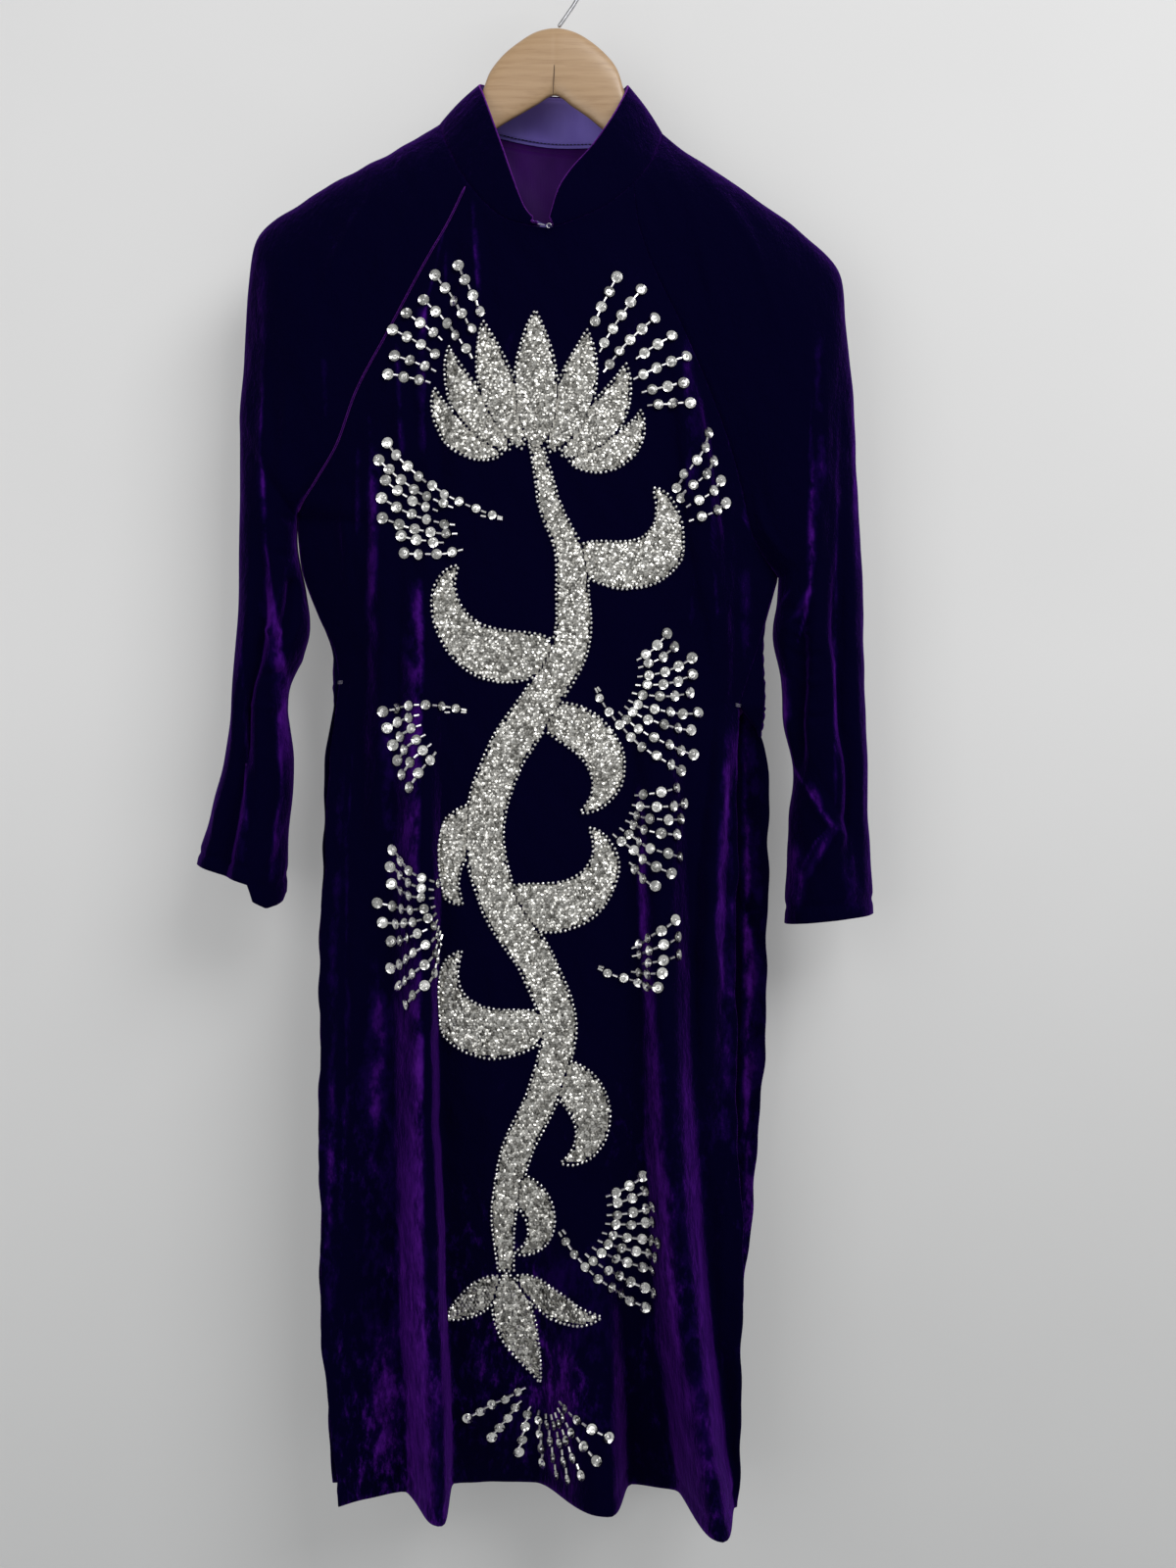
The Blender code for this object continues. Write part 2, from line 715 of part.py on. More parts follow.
def build_collar(velvet, violet_satin):
    places = np.linspace(0, len(collar_rows) - 1, collar_columns + 1)
    table = spline(np.arange(len(collar_rows)), collar_rows, places) * mm
    foot = table[:, :3]
    top = table[:, 3:]
    outer = np.array([foot + (top - foot) * rise for rise in collar_rises])
    normals = grid_normals(outer)
    cloth_from_grid("collar", outer, normals, cloth_wall, velvet)
    lined = outer - normals * (cloth_wall + collar_layer_gap)
    low, high = collar_lining_ends
    lowest = lined[0] + (lined[1] - lined[0]) * low
    highest = lined[1] + (lined[2] - lined[1]) * high
    inner = np.array([lowest, lined[1], highest])[:, 1:-1]
    cloth_from_grid("collar_lining", inner, grid_normals(inner), lining_wall, violet_satin)


def build_neck_lining(back, purple_satin):
    # The part of the back's lining that the neck opening shows, made from the back panel's points.
    inner = back - grid_normals(back) * (cloth_wall + layer_gap)
    patch = inner[:neck_lining_rows, neck_lining_inset:-neck_lining_inset].copy()
    patch[0] += (patch[1] - patch[0]) * neck_lining_drop
    cloth_from_grid("neck_lining", patch, grid_normals(patch), lining_wall, purple_satin)


def build_hanger(grids, wood):
    # Sections across the hanger: rounded slabs between its top line and its under line.
    middle = np.array(hanger_rows) * mm
    arms = []
    for name, side in (("right_sleeve", -1), ("left_sleeve", 1)):
        ridge = grids[name][: raglan_steps + 1, sleeve_columns // 2]
        arm = []
        for x, height, extra_drop in arm_rows:
            x = side * x * mm
            z = np.interp(side * x, side * ridge[:, 0], ridge[:, 2])
            beyond = np.interp(side * x + slope_step, side * ridge[:, 0], ridge[:, 2])
            slope = (z - beyond) / slope_step
            drop = (cloth_wall + layer_gap) * math.hypot(1, slope) + extra_drop * mm
            arm.append((x, z - drop, z - drop - height * mm))
        arms.append(arm[::-1] if side < 0 else arm)
    inner_right = arms[0][-1][0]
    inner_left = arms[1][0][0]
    kept = middle[(middle[:, 0] > inner_right + arm_gap) & (middle[:, 0] < inner_left - arm_gap)]
    table = np.concatenate([np.array(arms[0]), kept, np.array(arms[1])])
    places = np.linspace(0, len(table) - 1, hanger_sections)
    table = spline(np.arange(len(table)), table, places)
    turns = np.linspace(0, 2 * math.pi, hanger_sides, endpoint=False)
    power = 2 / hanger_roundness
    across = np.sign(np.cos(turns)) * np.abs(np.cos(turns)) ** power
    upward = np.sign(np.sin(turns)) * np.abs(np.sin(turns)) ** power
    rings = []
    for x, top, under in table:
        half_height = (top - under) / 2
        middle_z = (top + under) / 2
        ring = np.stack(
            [
                np.full(len(turns), x),
                across * hanger_half_thickness,
                middle_z + upward * half_height,
            ],
            axis=1,
        )
        rings.append(ring)
    body_from_rings("hanger_arms", np.array(rings), wood)


def build_hook(chrome):
    # A wire that leaves the wood, bends out and runs round the ring past its top.
    stem = np.array(hook_stem_rows) * mm
    turns = np.linspace(hook_start_angle, hook_end_angle, hook_sections)
    ring_x = hook_radius * np.cos(turns)
    ring_z = wire_radius - hook_radius + hook_radius * np.sin(turns)
    x = np.concatenate([stem[:, 0], ring_x])
    z = np.concatenate([stem[:, 1], ring_z])
    path = np.stack([x, np.zeros(len(x)), z], axis=1)
    ahead = np.gradient(path, axis=0)
    ahead /= np.linalg.norm(ahead, axis=1, keepdims=True)
    aside = np.cross(np.array([0.0, 1.0, 0.0]), ahead)
    around = np.linspace(0, 2 * math.pi, wire_sides, endpoint=False)
    rings = []
    for centre, out in zip(path, aside):
        ring = [
            centre + wire_radius * (math.cos(a) * out + math.sin(a) * np.array([0.0, 1.0, 0.0]))
            for a in around
        ]
        rings.append(ring)
    body_from_rings("hanger_hook", np.array(rings), chrome)


def main():
    clear_scene()
    materials = {name: make_material(name) for name in material_rows}
    grids = build_body(materials["velvet"])
    build_collar(materials["velvet"], materials["violet_satin"])
    build_neck_lining(grids["back_panel"], materials["purple_satin"])
    build_hanger(grids, materials["pale_wood"])
    build_hook(materials["chrome"])


main()
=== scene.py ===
# The velvet ao dai on its wooden hanger, dressed for a picture.
# Metres, +Z up, the front faces -Y. Left and right in names are the wearer's.
import math
import bpy
import numpy as np
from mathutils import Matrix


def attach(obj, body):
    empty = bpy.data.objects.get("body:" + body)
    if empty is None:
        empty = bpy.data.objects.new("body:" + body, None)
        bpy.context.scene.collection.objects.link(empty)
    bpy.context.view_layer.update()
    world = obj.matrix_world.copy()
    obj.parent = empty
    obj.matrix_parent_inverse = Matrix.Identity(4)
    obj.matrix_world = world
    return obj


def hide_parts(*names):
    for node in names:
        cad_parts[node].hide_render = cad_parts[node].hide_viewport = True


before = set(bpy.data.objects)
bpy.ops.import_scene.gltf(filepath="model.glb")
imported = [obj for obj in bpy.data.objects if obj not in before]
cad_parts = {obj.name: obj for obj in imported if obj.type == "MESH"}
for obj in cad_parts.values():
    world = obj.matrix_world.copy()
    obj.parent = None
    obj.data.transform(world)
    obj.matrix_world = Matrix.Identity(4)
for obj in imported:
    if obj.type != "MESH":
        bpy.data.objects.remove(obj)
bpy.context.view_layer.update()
mm = 0.001
dice = np.random.default_rng(7)

# Shape of the garment, in mm, the same tables as the solids are worked out from.
collarShape = {
    # foot x, y, z, then top edge x, y, z, round the neck from the wearer's right front end
    "rows": (
        (-11, -50, -228, -17, -51, -221), (-25, -49, -225, -24, -49, -210),
        (-41, -46, -218, -32, -44, -188), (-56, -40, -203, -40, -36, -163),
        (-71, -33, -182, -48, -27, -139), (-84, -20, -154, -56, -13, -114), (-90, 0, -132, -60, 2, -101),
        (-82, 18, -128, -54, 16, -97), (-61, 31, -129, -37, 26, -97), (-33, 38, -134, -17, 33, -98),
        (-5, 40, -138, 1, 35, -99), (24, 38, -139, 22, 33, -100), (51, 31, -139, 39, 26, -101),
        (73, 18, -138, 53, 15, -101), (84, 0, -139, 58, 1, -102), (79, -19, -160, 54, -13, -116),
        (68, -31, -181, 44, -27, -138), (54, -38, -197, 29, -36, -162), (37, -44, -211, 14, -43, -181),
        (18, -48, -221, 4, -48, -198), (0, -50, -228, -3, -51, -221),
    ),
    "columns": 260,
    "steps": 14,
    "outwardBow": 1.2,
    "liningGap": 0.25,
    "liningWall": 0.7,
    "edgeRadius": 0.85,
}
neckRows = {
    "rightFront": 3.7,
    "rightShoulder": 6.0,
    "rightBack": 8.0,
    "leftBack": 12.0,
    "leftShoulder": 14.0,
    "leftFront": 16.5,
}
clothShape = {
    "wall": 1.6,
    "seamGap": 0.4,
    "neckGap": 0.7,
    "layerGap": 0.3,
    "neckBlend": 90,
    "slitTop": -572,
    "raglanSteps": 84,
    "sideSteps": 34,
    "skirtSteps": 172,
    "bellyPower": 2.6,
    "edgeWave": 1.5,
    "hemUp": 12,
    "hemGroove": 1.1,
    "hemWidth": 3.2,
    "wrapShare": 0.08,
    "maskShare": 0.07,
    "crestRoundness": 1.35,
    "rimBulge": 0.28,
    "seamFade": 0.07,
    "looseningRows": 24,
    "neckFade": 30,
    "turnedIn": 11,
    # height in mm, length in m, and what is added to the seed
    "ripples": ((2.2, 0.16, 0), (0.9, 0.05, 9)),
}
sleeveShape = {
    # front seam x, y, z, shoulder line x, y, z, back seam x, y, z, bow
    "rightShoulder": (
        (-67, -35, -188, -90, 0, -132, -61, 31, -129, 0), (-81, -37, -219, -109, 0, -144, -83, 33, -170, 3),
        (-96, -38, -246, -128, 0, -155, -103, 33, -217, 4),
        (-127, -38, -304, -196, 0, -194, -136, 32, -285, 6),
        (-152, -34, -349, -232, 0, -222, -160, 30, -334, 8),
        (-168, -29, -390, -241, 0, -266, -175, 25, -379, 11),
        (-185, -21, -416, -244, 0, -320, -190, 16, -410, 15),
        (-200, -11, -438, -247, 0, -366, -201, 1, -437, 20),
        (-202, -5, -443, -247, 0, -376, -202, -5, -443, 21),
    ),
    "leftShoulder": (
        (60, -35, -190, 84, 0, -139, 51, 31, -139, 0), (64, -37, -221, 103, 0, -155, 65, 33, -178, 3),
        (73, -38, -248, 122, 0, -168, 77, 33, -223, 4), (99, -38, -302, 187, 0, -213, 103, 32, -284, 6),
        (118, -34, -345, 223, 0, -247, 122, 30, -330, 8), (134, -30, -386, 229, 0, -289, 138, 25, -375, 11),
        (144, -26, -420, 232, 0, -335, 147, 18, -413, 15), (155, -20, -462, 236, 0, -392, 157, 6, -460, 20),
        (175, -6, -490, 239, 0, -466, 175, -6, -490, 23),
    ),
    # inner edge x, y, z, outer edge x, y, z, bow
    "rightTube": (
        (-202, -5, -443, -247, 0, -376, 21), (-202.3, -3, -467, -248, 0, -413, 24),
        (-196, 0, -500, -249, 0, -465, 27), (-193.5, 0, -535, -249, 0, -524, 30),
        (-199, 0, -556, -250, 0, -551, 29), (-208, 0, -573, -252, 0, -577, 28),
        (-206, 0, -633, -260, 0, -630, 30), (-208, 0, -680, -270, 0, -677, 32),
        (-210, 0, -736, -280, 0, -713, 32),
    ),
    "leftTube": (
        (175, -6, -490, 239, 0, -466, 23), (174, -3, -510, 241, 0, -497, 26),
        (171, 0, -538, 242, 0, -540, 29), (177, 0, -567, 243, 0, -574, 28),
        (179, 0, -605, 244, 0, -609, 29), (187, 0, -640, 246, 0, -640, 30),
        (184, 0, -680, 247, 0, -680, 31), (180, 0, -760, 251, 0, -752, 32),
    ),
    # how far the wearer's right cuff hangs below its line, at each x
    "rightCuffDrop": (
        (-300, 0), (-236, 1), (-232, 13), (-222, 15), (-214, 10), (-207, 2), (-200, 0),
    ),
    "cuffDropShare": 0.30,
    # start and end along the tube, place round it at each, half width, depth
    "rightFolds": (
        (0.10, 1.20, -0.46, -0.34, 0.15, 13), (0.25, 1.20, 0.42, 0.50, 0.16, 11),
        (0.20, 0.44, -0.80, -0.62, 0.12, 8),
    ),
    "leftFolds": (
        (-0.10, 0.95, -0.36, -0.34, 0.13, 10), (0.10, 0.62, -0.62, -0.86, 0.13, 9),
        (0.15, 1.20, 0.48, 0.42, 0.16, 11),
    ),
    "columns": 100,
    "tubeSteps": 150,
}
panelShape = {
    # right seam x, y, z, left seam x, y, z
    "sideSeam": (
        (-202, -5, -443, 175, -6, -490), (-200.5, -8, -462, 171, -7, -504),
        (-197.5, -8, -485, 167, -7, -518), (-185, -9, -519, 161, -8, -538),
        (-172, -11, -547, 153, -10, -563), (-168, -12, -572, 144, -12, -590),
    ),
    # right slit edge x, y, z, left slit edge x, y, z
    "frontSlit": (
        (-168, -12, -572, 144, -12, -590), (-173, -17, -620, 143, -17, -632),
        (-177, -24, -696, 141, -24, -701), (-180, -29, -800, 140, -29, -800),
        (-180, -33, -900, 140, -33, -900), (-179, -36, -964, 143, -36, -970),
        (-177, -40, -1057, 144, -40, -1055), (-172, -44, -1120, 142, -44, -1120),
        (-162, -48, -1200, 140, -48, -1200),
    ),
    "backSlit": (
        (-168, -12, -572, 144, -12, -590), (-177, 3, -605, 163, 2, -615), (-184, 14, -698, 168, 13, -702),
        (-187, 20, -800, 168, 18, -800), (-188, 22, -900, 164, 20, -900), (-188, 24, -977, 157, 22, -983),
        (-187, 26, -1076, 149, 24, -1071), (-183, 27, -1140, 144, 25, -1140),
        (-178, 28, -1210, 139, 26, -1210),
    ),
    # z, how far forward or back the front's middle and the back's middle lie
    "belly": (
        (-190, -45, 39), (-300, -48, 38), (-400, -48, 36), (-440, -47.5, 33), (-500, -46.5, 29),
        (-570, -44, 25), (-620, -44, 28), (-700, -44, 30), (-800, -44, 32), (-900, -40, 33),
        (-1000, -27.5, 34), (-1100, -12.5, 36), (-1225, 7, 38),
    ),
    # z, how far the back wraps round past the side seam on the right and on the left
    "wrap": (
        (-440, 0, 0), (-480, 1, 1), (-520, 8, 9), (-540, 11, 15), (-563, 15, 23), (-575, 16, 28),
        (-590, 10, 33), (-604, 4, 20), (-620, 0, 4), (-635, 0, 0),
    ),
    "frontColumns": 150,
    "backColumns": 112,
}
# z, x of the crest, width of its right flank and its left flank, depth, lean
frontFolds = (
    (
        (-430, -104, 24, 22, 0, 0), (-560, -103, 24, 22, 9, 0), (-700, -100, 26, 16, 20, 3),
        (-850, -99, 26, 13, 34, 5), (-1000, -96, 27, 12, 52, 7), (-1210, -90, 27, 12, 80, 9),
    ),
    (
        (-400, -130, 14, 14, 0, 0), (-500, -131, 15, 15, 7, 0), (-640, -134, 16, 16, 6, 0),
        (-760, -137, 16, 16, 0, 0),
    ),
    (
        (-960, 28, 40, 24, 0, 0), (-1080, 33, 48, 24, 22, 2), (-1210, 37, 54, 24, 72, 4),
    ),
    (
        (-540, 74, 20, 22, 0, 0), (-650, 80, 22, 22, 12, 0), (-800, 84, 22, 24, 24, 0),
        (-930, 90, 23, 24, 34, 0), (-1060, 99, 24, 24, 50, 2), (-1210, 119, 24, 22, 84, 3),
    ),
    (
        (-560, 136, 10, 10, 0, 0), (-630, 131, 13, 13, 9, 0), (-720, 122, 14, 13, 10, 0),
        (-860, 117, 14, 13, 8, 0), (-960, 117, 14, 13, 0, 0),
    ),
    (
        (-215, -64, 10, 10, 0, 0), (-300, -66, 14, 14, 6, 0), (-400, -72, 16, 16, 5, 0),
        (-470, -76, 16, 16, 0, 0),
    ),
    (
        (-300, 92, 10, 10, 0, 0), (-380, 106, 14, 14, 7, 0), (-500, 122, 16, 14, 8, 0),
        (-590, 134, 10, 10, 0, 0),
    ),
)
backFolds = (
    (
        (-560, -116, 34, 34, 0, 0), (-800, -122, 38, 36, 10, 0), (-1225, -126, 40, 38, 26, 0),
    ),
    (
        (-470, -38, 30, 34, 0, 0), (-750, -44, 36, 38, 9, 0), (-1225, -46, 40, 42, 22, 0),
    ),
    (
        (-620, 34, 32, 30, 0, 0), (-900, 34, 38, 36, 12, 0), (-1225, 36, 42, 40, 30, 0),
    ),
    (
        (-520, 108, 28, 26, 0, 0), (-850, 108, 32, 28, 10, 0), (-1225, 104, 34, 30, 21, 0),
    ),
)

# Fine creases, in mm: half width, height (a groove when below 0), then x, z along its line.
frontCreases = (
    (5, 2.4, -60, -205, -58, -254, -56, -305), (4, 2.0, -82, -240, -83, -282),
    (6, 3.0, -100, -275, -99, -341, -95, -391, -96, -480, -100, -560),
    (5, 2.6, -122, -312, -118, -361, -116, -400, -110, -445), (4, -2.2, -98, -424, -106, -438, -117, -450),
    (6, 2.6, -143, -345, -140, -390, -136, -475, -140, -540), (4, 1.8, -149, -376, -150, -472, -154, -520),
    (4, 2.2, -161, -411, -160, -475, -158, -530),
    (5, 3.0, 97, -320, 95, -373, 101, -410, 108, -480, 112, -540), (4, 2.2, 112, -334, 108, -398),
    (5, 2.4, 139, -395, 135, -475, 134, -545, 136, -580), (5, 2.2, 118, -380, 124, -450, 140, -520),
    (4, -1.8, 160, -524, 152, -552, 146, -572), (8, 3.2, -128, -455, -129, -560, -131, -700),
    (4, 2.6, 133, -595, 130, -626, 127, -686, 121, -733, 119, -790, 119, -870),
    (3, -1.6, 136, -600, 136, -680, 131, -760), (9, 2.2, 20, -560, 26, -680, 24, -800, 30, -930),
    (10, 2.0, -20, -430, -16, -540, -22, -660), (7, 2.2, 58, -500, 52, -620, 50, -760, 56, -900, 62, -1010),
    (6, 2.0, -50, -700, -46, -830, -50, -960, -44, -1080),
    (5, 2.4, -150, -640, -152, -780, -154, -930, -150, -1080),
    (4, 1.8, -164, -700, -166, -860, -164, -1010), (7, 2.2, 4, -900, 0, -1010, -6, -1120, -12, -1190),
    (5, 2.2, -30, -1040, -38, -1130, -44, -1195), (6, 2.4, 74, -1020, 80, -1100, 86, -1195),
    (4, 1.6, 16, -1080, 14, -1140, 18, -1195), (5, -1.6, -120, -900, -122, -1040, -126, -1190),
    (6, 1.8, -140, -1020, -142, -1110, -140, -1195), (5, 1.6, 132, -900, 130, -1010, 128, -1100),
    (4, 1.5, -20, -290, -14, -350, -16, -420), (5, 1.6, 34, -270, 30, -340, 38, -410, 44, -470),
    (5, -1.4, -44, -520, -60, -548, -92, -566, -130, -572), (5, -1.4, 60, -540, 92, -562, 126, -580),
)
backCreases = (
    (7, 2.6, -80, -200, -96, -290, -118, -380, -140, -440),
    (7, 2.6, 66, -210, 84, -300, 104, -390, 130, -452),
    (9, 2.2, -30, -230, -26, -330, -34, -430, -30, -520), (8, 2.0, 28, -250, 22, -350, 30, -460),
    (6, -2.0, -150, -500, -110, -530, -60, -546, -10, -550), (6, -1.8, 138, -520, 96, -548, 50, -560),
    (5, 2.4, -150, -560, -154, -700, -158, -860, -160, -1000),
    (6, 2.4, -84, -600, -88, -760, -84, -920, -90, -1100), (5, 2.0, -6, -620, -4, -800, -2, -980, 0, -1150),
    (6, 2.2, 70, -640, 72, -820, 70, -1000, 74, -1180), (5, 2.2, 140, -640, 144, -800, 138, -960),
    (4, 1.8, -120, -900, -126, -1040, -122, -1190), (4, 1.6, 40, -1000, 44, -1100, 40, -1195),
)
rightSleeveFront = (
    (4, 2.2, -92, -170, -112, -215, -138, -270, -160, -330),
    (4, 2.0, -120, -168, -150, -215, -178, -275, -196, -340),
    (5, 2.6, -222, -260, -224, -330, -226, -410, -228, -480), (4, 2.2, -206, -330, -208, -380, -214, -430),
    (3, 2.6, -242, -515, -241, -606, -237, -660, -234, -722), (3, -2.2, -196, -452, -206, -446, -220, -440),
    (3, -2.0, -196, -470, -210, -474, -224, -470),
    (4, 2.6, -232, -478, -222, -502, -217, -532, -210, -574, -207, -628),
    (3, -2.4, -197, -540, -212, -548, -226, -545), (3, -2.2, -200, -556, -216, -566, -232, -568),
    (3, 2.4, -198, -528, -214, -534, -232, -528), (3, 2.0, -204, -585, -220, -592, -238, -588),
    (4, 2.4, -248, -510, -248, -560, -247, -610, -243, -670, -240, -725),
    (3, 2.2, -212, -680, -220, -705, -226, -725), (3, -2.4, -234, -600, -232, -670, -229, -735),
    (3, 1.8, -258, -650, -262, -690, -266, -715),
)
leftSleeveFront = (
    (4, 2.2, 92, -172, 108, -222, 120, -270, 140, -330),
    (4, 2.0, 118, -176, 148, -230, 170, -290, 188, -350),
    (4, -2.4, 222, -280, 223, -380, 222, -480, 220, -600, 218, -690),
    (5, 2.8, 200, -330, 203, -400, 203, -470, 197, -545, 190, -575),
    (4, 2.2, 206, -292, 209, -360, 210, -440, 209, -470),
    (3, -2.4, 152, -410, 146, -440, 148, -458, 164, -476, 190, -500),
    (3, 2.4, 158, -398, 156, -440, 170, -466, 196, -488), (3, -2.2, 176, -512, 190, -518, 206, -512),
    (3, 2.2, 174, -526, 192, -534, 212, -528), (3, -2.0, 174, -542, 194, -552, 214, -548),
    (3, 2.2, 180, -560, 198, -572, 218, -566), (3, -2.0, 184, -590, 200, -600, 220, -594),
    (4, 2.8, 191, -642, 208, -677, 219, -689, 210, -713, 194, -750),
    (3, -2.0, 200, -640, 216, -668, 232, -690), (3, 2.0, 234, -640, 228, -690, 232, -745),
)
sleeveBackCreases = (
    (5, 2.2, 210, -300, 212, -380, 208, -460), (4, -2.0, 180, -520, 200, -530, 226, -524),
    (4, 2.0, 180, -545, 204, -556, 232, -548), (4, -2.0, 184, -585, 206, -596, 234, -590),
    (4, 2.0, 206, -610, 210, -670, 214, -740), (5, 2.0, 130, -250, 150, -310, 170, -380),
)

# Painted highlights: bands where the velvet's folds catch the light, painted into its colour, in mm: width
# towards -x and towards +x, strength, then x, z down its line.
frontGlow = (
    (11, 2.3, 1.05, -102, -457, -101, -532, -101, -621, -103, -703, -101, -755),
    (7, 2.2, 1.05, -101, -735, -99, -838, -98, -934, -96, -1046, -90, -1136),
    (28, 28, 0.28, -126, -760, -130, -900, -128, -1040, -122, -1213),
    (17, 5, 0.50, -84, -1060, -88, -1130, -86, -1213), (9, 2.4, 0.55, -133, -375, -135, -472, -137, -569),
    (6.5, 6.5, 0.5, -129, -569, -126, -651, -123, -755), (1.5, 3, 0.45, -151, -375, -151, -479),
    (4.5, 4.5, 0.5, -160, -560, -166, -666, -170, -800, -172, -987, -168, -1136),
    (10, 10, 0.6, -129, -1046, -134, -1106, -131, -1200),
    (7.5, 7.5, 0.5, -135, -770, -134, -845, -138, -934), (34, 34, 0.45, 16, -980, 10, -1084, 0, -1190),
    (13, 13, 0.4, -56, -1074, -64, -1156),
    (2.2, 5, 0.6, 64, -700, 71, -808, 77, -905, 86, -1009, 101, -1156),
    (22, 22, 0.26, 96, -820, 100, -940, 104, -1060, 108, -1213),
    (3, 12, 0.5, 125, -726, 132, -838, 130, -949), (12, 12, 0.35, 110, -1074, 117, -1203),
    (2.4, 7, 0.6, 100, -283, 101, -353, 104, -405, 107, -472),
    (4.5, 4.5, 0.5, 147, -472, 149, -532, 153, -569),
    (2.6, 11, 0.7, 136, -591, 130, -651, 124, -726, 123, -785),
    (3.7, 3.7, 0.7, 65, -634, 67, -711, 69, -795), (3, 3, 0.3, 107, -462, 105, -542),
    (1.5, 3.0, 0.75, -63, -197, -60, -248, -56, -301), (1.5, 2.0, 0.55, -83, -235, -82, -292),
    (6, 2.2, 0.65, -98, -265, -99, -338, -98, -415), (1.6, 3.5, 0.65, -122, -305, -118, -360, -115, -415),
    (1.6, 3.5, 0.5, -143, -355, -140, -405, -137, -467), (9, 9, 0.22, -20, -250, -30, -300, -50, -380),
    (1.6, 1.6, 0.6, 154, -354, 153, -406, 146, -444, 160, -474),
    (1.5, 1.5, 0.5, 118, -360, 120, -450, 128, -560),
    (1.5, 1.5, 0.5, -152, -560, -160, -700, -158, -840, -162, -1000),
    (1.6, 1.6, 0.5, -80, -205, -92, -262, -106, -330), (1.6, 1.6, 0.5, 135, -600, 137, -760, 133, -900),
    (11, 11, 0.20, 52, -230, 60, -300, 76, -390),
)
backGlow = (
    (9, 9, 0.8, -116, -520, -120, -680, -124, -860, -126, -1020),
    (7, 7, 0.7, -40, -560, -44, -700, -46, -900, -46, -1150),
    (8, 8, 0.8, 34, -640, 34, -800, 35, -960, 36, -1190),
    (6, 6, 0.7, 108, -540, 108, -700, 106, -900, 104, -1120),
    (10, 10, 0.46, 157, -450, 160, -760, 160, -960, 156, -1140),
    (1.6, 2.4, 0.5, 148, -500, 153, -800, 152, -1000, 148, -1120),
    (9, 9, 0.35, -158, -590, -164, -760, -166, -960, -160, -1120),
    (5, 5, 0.5, -90, -230, -110, -320, -134, -410), (5, 5, 0.5, 76, -240, 96, -330, 118, -410),
    (4, 4, 0.45, -26, -260, -30, -360, -28, -450), (12, 12, 0.4, -80, -1060, -84, -1200),
    (14, 14, 0.4, 70, -1040, 76, -1200), (4, 4, 0.5, 150, -650, 154, -800, 150, -960),
)
rightGlow = (
    (9, 2.6, 0.9, -223, -475, -213, -538, -206, -598, -203, -653),
    (3.6, 3.6, 0.9, -165, -395, -187, -424, -200, -448), (4, 4, 0.35, -240, -664, -239, -721),
    (3.6, 3.6, 0.5, -208, -674, -216, -704, -220, -735), (4, 4, 0.4, -226, -392, -225, -447, -226, -487),
    (3, 3, 0.4, -199, -420, -204, -470, -207, -495), (3.6, 3.6, 0.35, -177, -315, -175, -382),
    (3.6, 3.6, 0.25, -225, -239, -226, -323),
    (1.5, 1.5, 0.6, -224, -300, -226, -390, -223, -470, -214, -530),
    (1.4, 1.4, 0.6, -186, -420, -200, -436, -222, -442),
    (1.4, 1.4, 0.5, -198, -462, -206, -480, -216, -520),
    (1.5, 1.5, 0.6, -205, -560, -214, -600, -212, -660, -220, -720),
    (1.4, 1.4, 0.5, -242, -515, -241, -606, -237, -660, -235, -722),
)
leftGlow = (
    (3.8, 3.8, 0.5, 202, -291, 204, -364, 206, -434), (4.5, 4.5, 0.6, 201, -392, 198, -455, 198, -510),
    (4.5, 4.5, 0.5, 174, -534, 188, -519, 200, -495), (5, 5, 0.5, 178, -558, 182, -608),
    (2.3, 2.3, 0.35, 219, -498, 218, -591, 216, -691),
    (3.8, 3.8, 0.8, 194, -637, 206, -671, 215, -685, 204, -705, 191, -732),
    (7, 7, 0.5, 186, -690, 189, -752), (8, 8, 0.45, 230, -701, 228, -759),
    (1.5, 1.5, 0.7, 197, -334, 197, -448, 199, -482, 194, -521, 179, -576),
    (1.3, 1.3, 0.5, 218, -334, 219, -505, 216, -616, 216, -700),
    (1.4, 1.4, 0.6, 189, -490, 169, -521, 167, -546, 174, -570),
    (1.5, 1.5, 0.7, 177, -575, 182, -631, 205, -670, 218, -690),
    (1.5, 1.5, 0.6, 218, -676, 202, -695, 191, -717, 188, -755),
    (1.4, 2.6, 0.5, 231, -250, 233, -380, 234, -520),
)
sleeveBackGlow = (
    (5, 5, 0.6, 206, -290, 210, -380, 206, -470), (5, 5, 0.5, 196, -540, 204, -620, 208, -700),
    (4, 4, 0.5, 150, -270, 168, -330, 184, -400),
)


def unit(vectors):
    # Each vector divided by its length.
    return vectors / np.maximum(np.linalg.norm(vectors, axis=-1, keepdims=True), 1e-12)


def splineThrough(knots, values, at):
    # Cubic pieces whose slope at each row is the slope between its two neighbours.
    knots, values = np.asarray(knots, float), np.asarray(values, float)
    slopes = np.gradient(values, knots, axis=0)
    at = np.clip(np.asarray(at, float), knots[0], knots[-1])
    index = np.clip(np.searchsorted(knots, at, side="right") - 1, 0, len(knots) - 2)
    span = (knots[index + 1] - knots[index])[..., None]
    t = (at - knots[index])[..., None] / span
    return (
        (2 * t**3 - 3 * t**2 + 1) * values[index]
        + (t**3 - 2 * t**2 + t) * slopes[index] * span
        + (3 * t**2 - 2 * t**3) * values[index + 1]
        + (t**3 - t**2) * slopes[index + 1] * span
    )


def runningLength(points):
    # Distance along a line of points, 0 at the first.
    return np.concatenate([[0.0], np.cumsum(np.linalg.norm(np.diff(points, axis=0), axis=-1))])


def alongLine(points, lengths, places):
    # The line at each running length, by straight steps between its points.
    return np.stack([np.interp(places, lengths, column) for column in points.T], axis=1)


def evenPoints(points, count):
    # The same line with its points spaced evenly.
    lengths = runningLength(points)
    return alongLine(points, lengths, np.linspace(0, lengths[-1], count))


